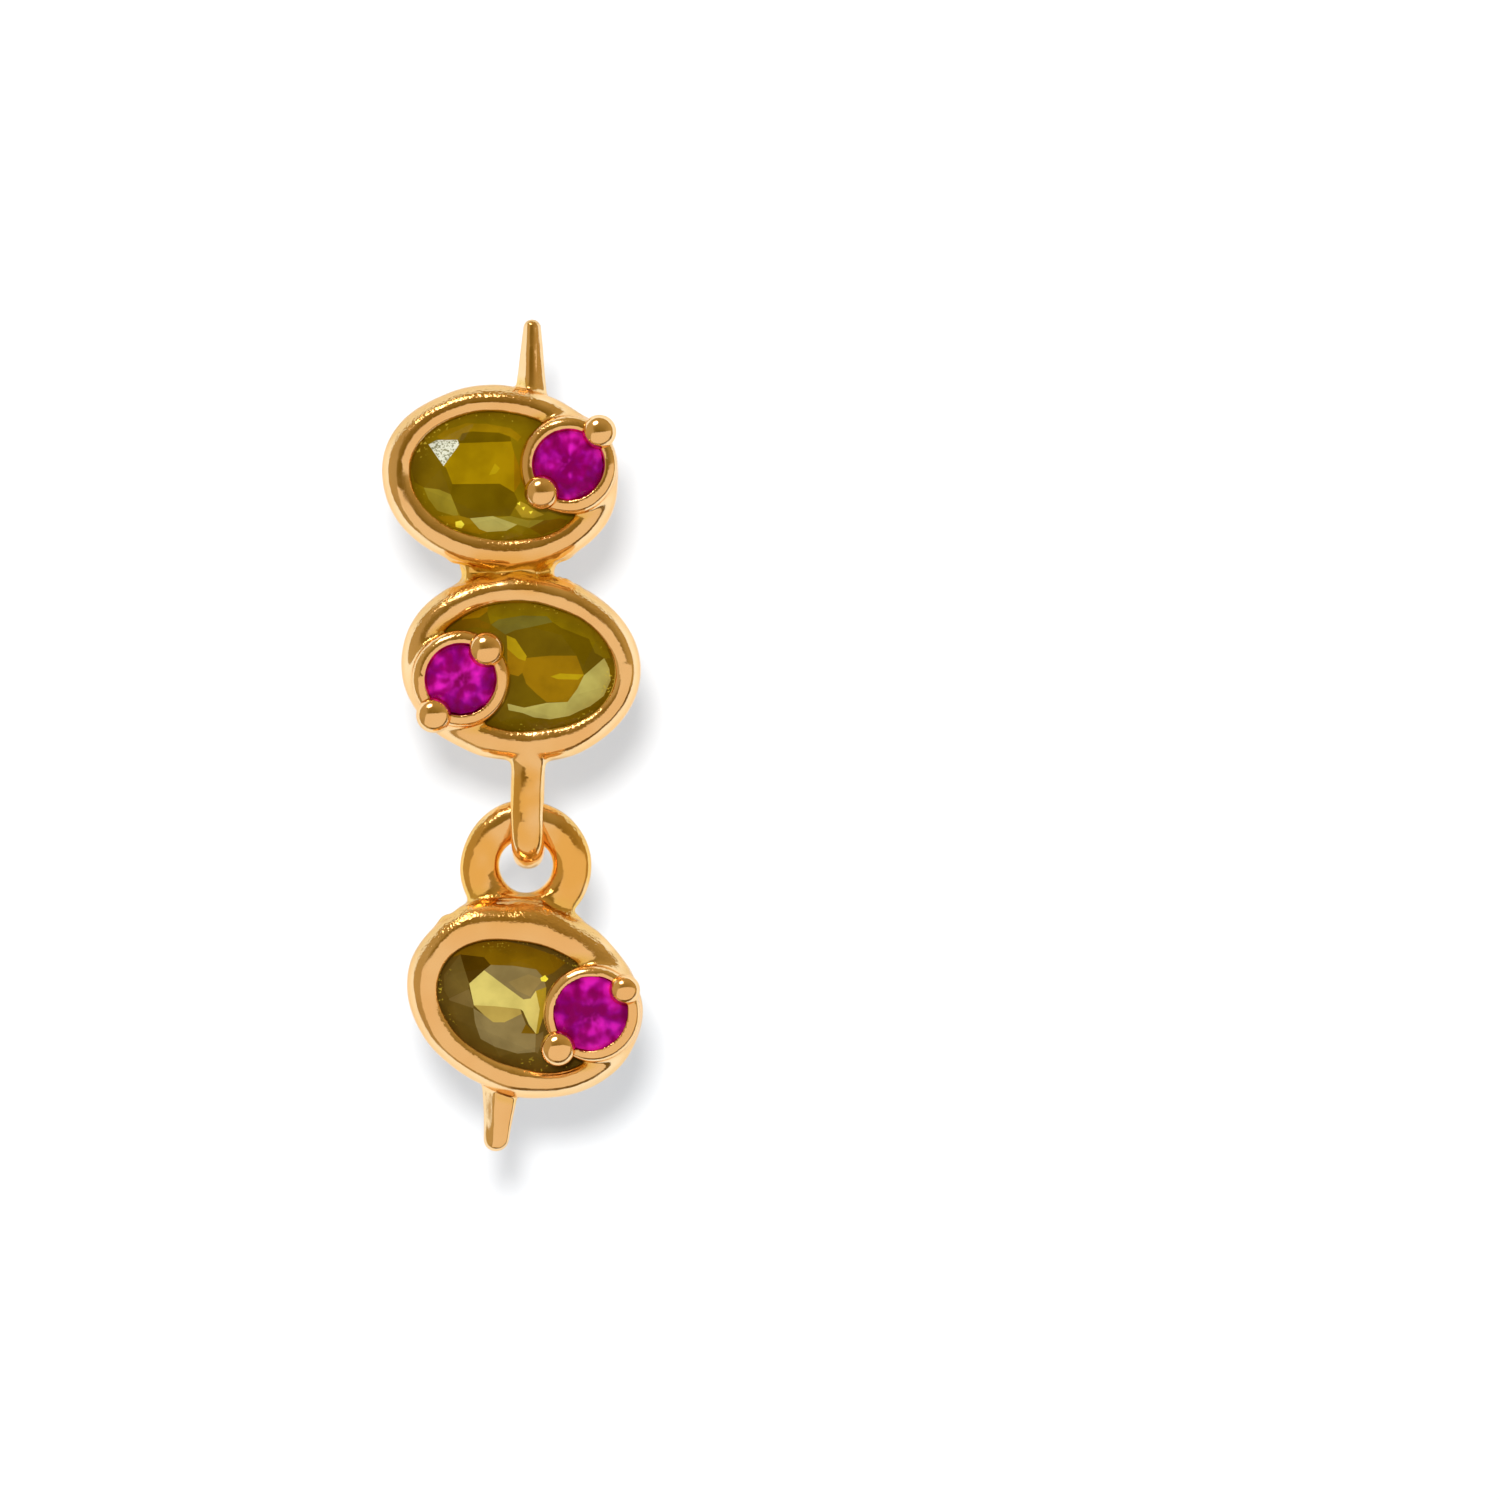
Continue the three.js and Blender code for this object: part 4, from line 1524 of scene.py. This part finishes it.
class Recipe:
    """A geometry node tree with named inputs."""

    def __init__(self, name: str, inputs: dict[str, float]) -> None:
        """Start a tree.

        Args:
            name: The tree's name.
            inputs: Its inputs' names and defaults.
        """
        self.tree = bpy.data.node_groups.new(name, "GeometryNodeTree")
        self.pad = NodePad(self.tree)
        face = self.tree.interface
        face.new_socket("Geometry", in_out="INPUT", socket_type="NodeSocketGeometry")
        face.new_socket("Geometry", in_out="OUTPUT", socket_type="NodeSocketGeometry")
        for label, value in inputs.items():
            face.new_socket(label, in_out="INPUT", socket_type="NodeSocketFloat").default_value = value
        self.entry = self.tree.nodes.new("NodeGroupInput")

    def given(self, name: str) -> Wire:
        """An input's wire."""
        return Wire(self.pad, self.entry.outputs[name])

    def girth(self) -> Wire:
        """How stout the piece on each point is."""
        return self.pad.add("GeometryNodeInputNamedAttribute", {"Name": "girth"}, data_type="FLOAT")

    def moved(self, geometry: Wire, translation: Any = (0.0, 0.0, 0.0), rotation: Any = (0.0, 0.0, 0.0)) -> Wire:
        """Geometry turned and moved."""
        return self.pad.add("GeometryNodeTransform", {
            "Geometry": geometry, "Translation": translation, "Rotation": rotation,
        })

    def close(self, geometry: Wire, material: bpy.types.Material) -> None:
        """End the tree in plain geometry.

        Args:
            geometry: What the tree has made.
            material: Its material.
        """
        real = self.pad.add("GeometryNodeRealizeInstances", {0: geometry})
        coated = self.pad.add("GeometryNodeSetMaterial", {"Geometry": real, "Material": material})
        self.pad.add("NodeGroupOutput", {0: coated})

    def run(self, name: str, points: Sequence[Triple], values: dict[str, float],
            girths: Sequence[float] = (), joined: bool = False) -> bpy.types.Object:
        """Run the tree on a set of points and keep the result as a plain mesh.

        Args:
            name: The new object's name.
            points: The points that the tree starts from, in metres.
            values: Its inputs by name.
            girths: How stout the piece on each point is, where the tree asks for it.
            joined: Whether the points make one line.

        Returns:
            The object, at the origin.
        """
        start = bpy.data.meshes.new(name + "_start")
        edges = [(k, k + 1) for k in range(len(points) - 1)] if joined else []
        start.from_pydata([tuple(p) for p in points], edges, [])
        if girths:
            store(start, "girth", girths)
        carrier = linked(name + "_start", start)
        modifier = carrier.modifiers.new("recipe", "NODES")
        modifier.node_group = self.tree
        for item in self.tree.interface.items_tree:
            if item.in_out == "INPUT" and item.name in values:
                modifier[item.identifier] = values[item.name]
        ready = carrier.evaluated_get(bpy.context.evaluated_depsgraph_get())
        mesh = bpy.data.meshes.new_from_object(ready)
        carrier.modifiers.clear()
        bpy.data.objects.remove(carrier)
        mesh.name = name
        face_out(mesh)
        return linked(name, mesh)


class CutStone(Recipe):
    """A round brilliant cut: rings of corners, one for each level of facets, wrapped in their hull."""

    STAR_HEIGHT = 0.52
    LOWER_HEIGHT = 0.93
    CULET_SHARE = 0.02

    def __init__(self, material: bpy.types.Material) -> None:
        """Build the tree.

        Args:
            material: The stone's material.
        """
        super().__init__("Cut stone", {
            "Radius": 1.0, "Table Share": 0.58, "Crown Height": 0.3, "Girdle Thickness": 0.05,
            "Pavilion Depth": 0.7, "Lower Share": 0.35, "Lift": 0.0,
        })
        given, pad = self.given, self.pad
        half = math.pi / 8
        star = (1 + given("Table Share")) / 2 / math.cos(half)
        radius, crown, girdle, lower = (given(n) for n in ("Radius", "Crown Height", "Girdle Thickness", "Lower Share"))
        levels = [
            self.ring(8, 0.0, radius * given("Table Share"), crown + girdle),
            self.ring(8, half, radius * star, crown * self.STAR_HEIGHT + girdle),
            self.ring(16, 0.0, radius, girdle),
            self.ring(16, 0.0, radius, girdle * 0),
            self.ring(8, half, radius * lower, given("Pavilion Depth") * (lower * self.LOWER_HEIGHT - 1)),
            self.ring(8, 0.0, radius * self.CULET_SHARE, given("Pavilion Depth") * -1),
        ]
        hull = pad.add("GeometryNodeConvexHull", {0: pad.add("GeometryNodeJoinGeometry", {0: levels})})
        own = pad.add("GeometryNodeInputPosition") / pad.vector(X=radius, Y=radius, Z=radius)
        for name, value, kind in (("own", own, "FLOAT_VECTOR"), ("lift", given("Lift"), "FLOAT")):
            hull = pad.add("GeometryNodeStoreNamedAttribute", {"Geometry": hull, "Name": name, "Value": value},
                           data_type=kind, domain="POINT")
        stone = self.moved(hull, rotation=(math.pi / 2, 0.0, 0.0))
        self.close(pad.add("GeometryNodeInstanceOnPoints", {"Points": given("Geometry"), "Instance": stone}), material)

    def ring(self, corners: int, turn: float, radius: Wire, height: Wire) -> Wire:
        """Lay out one level's corners.

        Args:
            corners: How many there are.
            turn: The first one's turn, in radians.
            radius: Their distance from the axis.
            height: Their height.

        Returns:
            The ring of them.
        """
        circle = self.pad.add("GeometryNodeMeshCircle", {"Vertices": corners, "Radius": radius})
        return self.moved(circle, self.pad.vector(Z=height), (0.0, 0.0, turn))


class BallProngs(Recipe):
    """Ball-ended prongs: one stem and one ball on each point."""

    STEM_TOP = 0.92
    STEM_BOTTOM = 0.7

    def __init__(self, material: bpy.types.Material) -> None:
        """Build the tree.

        Args:
            material: The prongs' material.
        """
        super().__init__("Ball prongs", {
            "Ball Radius": 0.001, "Ball Height": 0.003, "Stem Radius": 0.001, "Foot": 0.002,
        })
        given, pad = self.given, self.pad
        ball = pad.add("GeometryNodeMeshIcoSphere", {"Radius": given("Ball Radius"), "Subdivisions": 5})
        ball = self.moved(ball, pad.vector(Z=given("Ball Height")))
        stem = pad.add("GeometryNodeMeshCone", {
            "Vertices": 32, "Radius Top": given("Stem Radius") * self.STEM_TOP,
            "Radius Bottom": given("Stem Radius") * self.STEM_BOTTOM,
            "Depth": given("Ball Height") - given("Foot"),
        })
        stem = self.moved(stem, pad.vector(Z=given("Foot")))
        prong = pad.add("GeometryNodeJoinGeometry", {0: [stem, ball]})
        prong = pad.add("GeometryNodeSetShadeSmooth", {"Geometry": prong})
        prong = self.moved(prong, rotation=(math.pi / 2, 0.0, 0.0))
        girth = self.girth()
        self.close(pad.add("GeometryNodeInstanceOnPoints", {
            "Points": given("Geometry"), "Instance": prong, "Scale": pad.vector(X=girth, Y=1.0, Z=girth),
        }), material)


class TurnedPin(Recipe):
    """A pin turned along a line of points, as stout at each point as that point's girth says."""

    def __init__(self, material: bpy.types.Material) -> None:
        """Build the tree.

        Args:
            material: The pin's material.
        """
        super().__init__("Turned pin", {"Radius": 0.001})
        pad = self.pad
        line = pad.add("GeometryNodeMeshToCurve", {0: self.given("Geometry")})
        section = pad.add("GeometryNodeCurvePrimitiveCircle", {"Resolution": 40, "Radius": self.given("Radius")})
        pin = pad.add("GeometryNodeCurveToMesh", {
            "Curve": line, "Profile Curve": section, "Scale": self.girth(), "Fill Caps": True,
        })
        self.close(pad.add("GeometryNodeSetShadeSmooth", {"Geometry": pin}), material)


# ---- Stage, light and camera --------------------------------------------------------------------


@dataclass(frozen=True)
class Window:
    """A bright window in the polished ball's face: a rounded bar from one point to another."""

    start: Pair
    end: Pair
    radius: float
    strength: float


@dataclass
class Studio:
    """White backdrop, tent light and the camera."""

    lens: float = 300.0
    view_width: float = 45.18
    aim: Triple = (7.52, -1.6, -8.16)
    backdrop_y: float = 12.2
    backdrop_half: float = 70.0
    backdrop_white: Triple = (0.9, 0.9, 0.9)
    white_light: Triple = (0.96, 0.757, 0.6)
    edge_light: Triple = (0.72, 0.524, 0.374)
    pale_light: Triple = (0.88, 0.68, 0.46)
    half_light: Triple = (0.54, 0.39, 0.175)
    dark_light: Triple = (0.19, 0.117, 0.0104)
    tan_light: Triple = (0.48, 0.325, 0.11)
    under_light: Triple = (0.18, 0.11, 0.03)
    even_light: Triple = (0.61, 0.665, 0.72)
    blotch_scale: float = 3.5
    blotch_share: float = 0.35
    dark_reach: Pair = (0.02, 0.68)
    above_step: Pair = (-0.3, -0.1)
    left_step: Pair = (-0.24, -0.34)
    left_slant: float = 0.15
    left_share: float = 0.75
    white_reach: Pair = (0.8, 0.88)
    white_shift: float = 0.05
    edge_reach: Pair = (0.93, 1.0)
    window_core: float = 0.6
    windows: tuple[Window, ...] = (Window((-0.24, 0.47), (-0.15, 0.5), 0.1, 8.0),)
    card_y: float = -46.5
    card_corners: tuple[Pair, ...] = ((-42.0, -5.0), (418.0, 50.0), (418.0, -384.0), (-370.0, -384.0))
    lamp_at: Pair = (-10.28, 36.1)
    lamp_size: float = 34.2
    lamp_power: float = 0.78

    def build(self) -> None:
        """Set up everything around the object."""
        bpy.context.scene.view_settings.view_transform = "Standard"
        self.camera()
        self.backdrop()
        self.tent()
        self.pale_card()
        self.shadow_lamp()

    def face(self, made: bpy.types.Object, x: float, z: float) -> None:
        """Stand something in the camera's plane, facing the earring.

        Args:
            made: The camera or a lamp.
            x: How far it stands to the right of the aim.
            z: How far above it.
        """
        distance = self.view_width * self.lens / SENSOR_WIDTH
        made.location = Vector((self.aim[0] + x, self.aim[1] - distance, self.aim[2] + z)) * MM
        made.rotation_euler = (math.pi / 2, 0, 0)

    def camera(self) -> None:
        """Level camera in front of the earring."""
        data = bpy.data.cameras.new("camera")
        data.lens = self.lens
        data.clip_start = 0.01
        data.sensor_width = SENSOR_WIDTH
        made = linked("camera", data)
        self.face(made, 0.0, 0.0)
        bpy.context.scene.camera = made

    def card(self, name: str, corners: Sequence[Pair], y: float, material: bpy.types.Material) -> bpy.types.Object:
        """Put up a flat card as part of the stage.

        Args:
            name: Its name.
            corners: Its corners' X and Z.
            y: Where it stands.
            material: Its material.

        Returns:
            The card.
        """
        mesh = bpy.data.meshes.new(name)
        mesh.from_pydata([(x * MM, y * MM, z * MM) for x, z in corners], [], [(0, 1, 2, 3)])
        mesh.materials.append(material)
        made = linked(name, mesh)
        return made

    def backdrop(self) -> None:
        """White card behind the post, seen and lit from the front only."""
        half, mid = self.backdrop_half, self.aim[2]
        corners = ((-half, mid - half), (half, mid - half), (half, mid + half), (-half, mid + half))
        self.card("backdrop", corners, self.backdrop_y, coat("white card", self.one_sided))

    def one_sided(self, pad: NodePad) -> Wire:
        """Build a card that is matt white on the front and nothing on the back.

        Args:
            pad: The material's pad.

        Returns:
            Its shader.
        """
        matt = pad.add("ShaderNodeBsdfDiffuse", {"Color": self.backdrop_white})
        clear = pad.add("ShaderNodeBsdfTransparent")
        behind = pad.add("ShaderNodeNewGeometry", output="Backfacing")
        return pad.add("ShaderNodeMixShader", {0: behind, 1: matt, 2: clear})

    def tent(self) -> None:
        """Tent light as a polished ball in front of the camera would show it."""
        world = bpy.data.worlds.new("tent")
        bpy.context.scene.world = world
        world.use_nodes = True
        pad = NodePad(world.node_tree)
        way = pad.add("ShaderNodeTexCoord", output="Generated")
        leaning = pad.add("ShaderNodeVectorMath", {0: way, 1: (0, 1, 0)}, operation="SUBTRACT")
        facing = pad.add("ShaderNodeVectorMath", {0: leaning}, operation="NORMALIZE")
        colour = self.ball_face(pad, facing)
        even = pad.mix(pad.add("ShaderNodeLightPath", output="Is Diffuse Ray"), colour, self.even_light)
        shown = pad.mix(pad.add("ShaderNodeLightPath", output="Is Camera Ray"), even, (1.0, 1.0, 1.0))
        light = pad.add("ShaderNodeBackground", {"Color": shown, "Strength": 1.0})
        pad.add("ShaderNodeOutputWorld", {"Surface": light})

    def ball_face(self, pad: NodePad, facing: Wire) -> Wire:
        """Paint the ball's face: white at its edge, dark above and below, half-lit on the left, with the windows.

        Args:
            pad: The world's nodes.
            facing: The way that a point of the ball faces.

        Returns:
            The colour that shows there.
        """
        across = pad.add("ShaderNodeSeparateXYZ", {0: facing}, output="X")
        up = pad.add("ShaderNodeSeparateXYZ", {0: facing}, output="Z")
        reach = (across * across + up * up) ** 0.5
        blotches = pad.add("ShaderNodeTexNoise", {"Vector": facing, "Scale": self.blotch_scale, "Detail": 2.0}) - 0.5
        above = up.ramp(*self.above_step)
        left = (across + self.left_slant * up).ramp(*self.left_step)
        dark = (reach + self.blotch_share * blotches).ramp(*self.dark_reach)
        dark = pad.mix(dark, self.dark_light, self.tan_light)
        front = pad.mix(above, self.under_light, dark)
        front = pad.mix(left * self.left_share, front, self.half_light)
        white = (reach - self.white_shift * across).ramp(*self.white_reach)
        colour = pad.mix(white, front, self.white_light)
        colour = pad.mix(reach.ramp(*self.edge_reach), colour, self.edge_light)
        for window in self.windows:
            (ax, az), (bx, bz) = window.start, window.end
            dx, dz = bx - ax, bz - az
            along = ((across - ax) * dx + (up - az) * dz) / (dx * dx + dz * dz)
            share = pad.add("ShaderNodeClamp", {0: along})
            ox, oz = across - ax - share * dx, up - az - share * dz
            off = (ox * ox + oz * oz) ** 0.5
            shine = tuple(window.strength * c for c in self.white_light)
            colour = pad.mix(off.ramp(window.radius, window.radius * self.window_core), colour, shine)
        return colour

    def pale_card(self) -> None:
        """Pale card below the camera that only the polished metal mirrors."""
        glow = coat("pale card", lambda pad: pad.add("ShaderNodeEmission", {"Color": self.pale_light, "Strength": 1.0}))
        made = self.card("pale_card", self.card_corners, self.card_y, glow)
        made.visible_camera = made.visible_diffuse = made.visible_shadow = False
        made.visible_transmission = False

    def shadow_lamp(self) -> None:
        """Small lamp close above and to the left of the camera, which only throws the shadow on the card."""
        data = bpy.data.lights.new("shadow lamp", "AREA")
        data.shape = "DISK"
        data.size = self.lamp_size * MM
        data.energy = self.lamp_power
        made = linked("shadow lamp", data)
        self.face(made, *self.lamp_at)
        made.visible_glossy = False
        made.visible_transmission = False


# ---- The earring --------------------------------------------------------------------------------


@dataclass
class Prongs:
    """Sizes of the ball prongs."""

    ball_radius: float = 0.465
    ball_height: float = 3.44
    stem_radius: float = 0.27
    foot: float = 2.05

    def build(self, recipe: BallProngs, name: str, olives: Sequence[Olive]) -> bpy.types.Object:
        """Make the prongs of some olives as one piece.

        Args:
            recipe: The prongs' recipe.
            name: The piece's name.
            olives: The olives.

        Returns:
            The piece.
        """
        feet, girths = [], []
        for olive in olives:
            for prong in olive.prongs:
                turn = math.radians(prong.turn)
                x, z = olive.world(olive.cup[0] + prong.distance * math.cos(turn),
                                   olive.cup[1] + prong.distance * math.sin(turn))
                feet.append((x * MM, 0.0, z * MM))
                girths.append(prong.girth)
        return recipe.run(name, feet, {
            "Ball Radius": self.ball_radius * MM, "Ball Height": self.ball_height * MM,
            "Stem Radius": self.stem_radius * MM, "Foot": self.foot * MM,
        }, girths)


@dataclass
class Pimento:
    """The small round stone of a cup."""

    radius: float = 1.04
    girdle: float = 3.2
    girdle_band: float = 0.04
    crown: float = 0.28
    pavilion: float = 0.3
    lift: float = 0.0

    def build(self, recipe: CutStone, name: str, olive: Olive) -> bpy.types.Object:
        """Make the stone in its cup.

        Args:
            recipe: The stone's recipe.
            name: The piece's name.
            olive: The olive whose cup it sits in.

        Returns:
            The stone.
        """
        x, z = olive.world(*olive.cup)
        return recipe.run(name, [(x * MM, -self.girdle * MM, z * MM)], {
            "Radius": self.radius * olive.stone_share * MM, "Crown Height": self.crown * MM,
            "Girdle Thickness": self.girdle_band * MM, "Pavilion Depth": self.pavilion * MM, "Lift": self.lift,
        })


# Each stone's lift is painted light: how much brighter it is painted.
PIMENTOS = (
    (Body.STUD, "top_pimento", TOP_OLIVE, Pimento(lift=0.04)),
    (Body.STUD, "middle_pimento", MIDDLE_OLIVE, Pimento(lift=0.03)),
    (Body.DROP, "bottom_pimento", BOTTOM_OLIVE, Pimento(lift=0.045)),
)


@dataclass
class EarPost:
    """The ear post: a drawn wire with solder at its foot, a rolled notch for the clutch and a round tip."""

    radius: float = 0.449
    foot: float = -0.25
    solder: tuple[Pair, ...] = ((-0.06, 1.02), (-0.05, 1.34), (0.03, 1.33), (0.08, 1.2), (0.14, 1.09), (0.22, 1.03),
                                (0.32, 1.0))
    length: float = 10.49
    notch_at: float = 8.6
    notch_width: float = 0.5
    notch_depth: float = 0.08
    bevel: float = 0.04
    land: float = 0.03

    def outline(self) -> list[Pair]:
        """Lay out the post.

        Returns:
            Y along its axis, and its girth there as a share of its radius.
        """
        shape = [(self.foot, 0.93), (self.foot + self.bevel, 1.0), *self.solder]
        shape += [(y, 1.0) for y in np.linspace(1.0, self.notch_at - self.land, 10)]
        shape += [(self.notch_at + self.notch_width * t, 1 - self.notch_depth / self.radius * math.sin(math.pi * t))
                  for t in np.linspace(0, 1, 11)]
        shape.append((self.notch_at + self.notch_width + self.land, 1.0))
        turns = [math.radians(a) for a in range(0, 86, 5)]
        return shape + [(self.length - self.radius * (1 - math.sin(t)), math.cos(t)) for t in turns]

    def build(self, recipe: TurnedPin, name: str) -> bpy.types.Object:
        """Turn the post.

        Args:
            recipe: The pin's recipe.
            name: The piece's name.

        Returns:
            The post.
        """
        shape = self.outline()
        points = [(0.0, y * MM, 0.0) for y, _ in shape]
        return recipe.run(name, points, {"Radius": self.radius * MM}, [girth for _, girth in shape], joined=True)


class Earring:
    """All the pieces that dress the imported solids."""

    def __init__(self) -> None:
        """Make the finishes."""
        self.gold = GoldFinish().material()
        wire = GoldFinish("drawn gold wire", colour=(0.94, 0.68, 0.37), roughness=0.12, ripple=0.3)
        self.wire_gold = wire.material()
        self.olive_gem = OliveFinish().material()
        self.pimento_gem = PimentoFinish().material()

    def place(self, piece: bpy.types.Object, body: Body, slot: Slot, *nodes: str) -> None:
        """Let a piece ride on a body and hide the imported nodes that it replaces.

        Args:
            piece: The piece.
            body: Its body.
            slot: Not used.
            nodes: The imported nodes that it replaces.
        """
        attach(piece, body.value)
        if nodes:
            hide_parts(*nodes)
        log.info("%s: %d faces on %s", piece.name, len(piece.data.polygons), body.value)

    def build(self) -> None:
        """Make and dress every piece."""
        for body, casting in METALS:
            metal = casting.build()
            metal.data.materials.append(self.gold)
            self.place(metal, body, Slot.GOLD, casting.name.replace("_metal", "_setting"))
        prongs = BallProngs(self.gold)
        self.place(Prongs().build(prongs, "upper_prongs", (TOP_OLIVE, MIDDLE_OLIVE)), Body.STUD, Slot.GOLD)
        self.place(Prongs().build(prongs, "lower_prongs", (BOTTOM_OLIVE,)), Body.DROP, Slot.GOLD)
        cut = CutStone(self.pimento_gem)
        for body, name, olive, pimento in PIMENTOS:
            self.place(pimento.build(cut, name, olive), body, Slot.PIMENTO)
        for body, stone in OVAL_STONES:
            gem = stone.build()
            gem.data.materials.append(self.olive_gem)
            self.place(gem, body, Slot.OLIVE, stone.name.replace("_gem", "_stone"))
        self.place(EarPost().build(TurnedPin(self.wire_gold), "turned_post"), Body.STUD, Slot.POST, "ear_post")


def main() -> None:
    """Build the earring and its studio."""
    logging.basicConfig(level=logging.INFO)
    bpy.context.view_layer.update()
    Earring().build()
    Studio().build()
    log.info("boxes written")


if __name__ == "__main__":
    main()
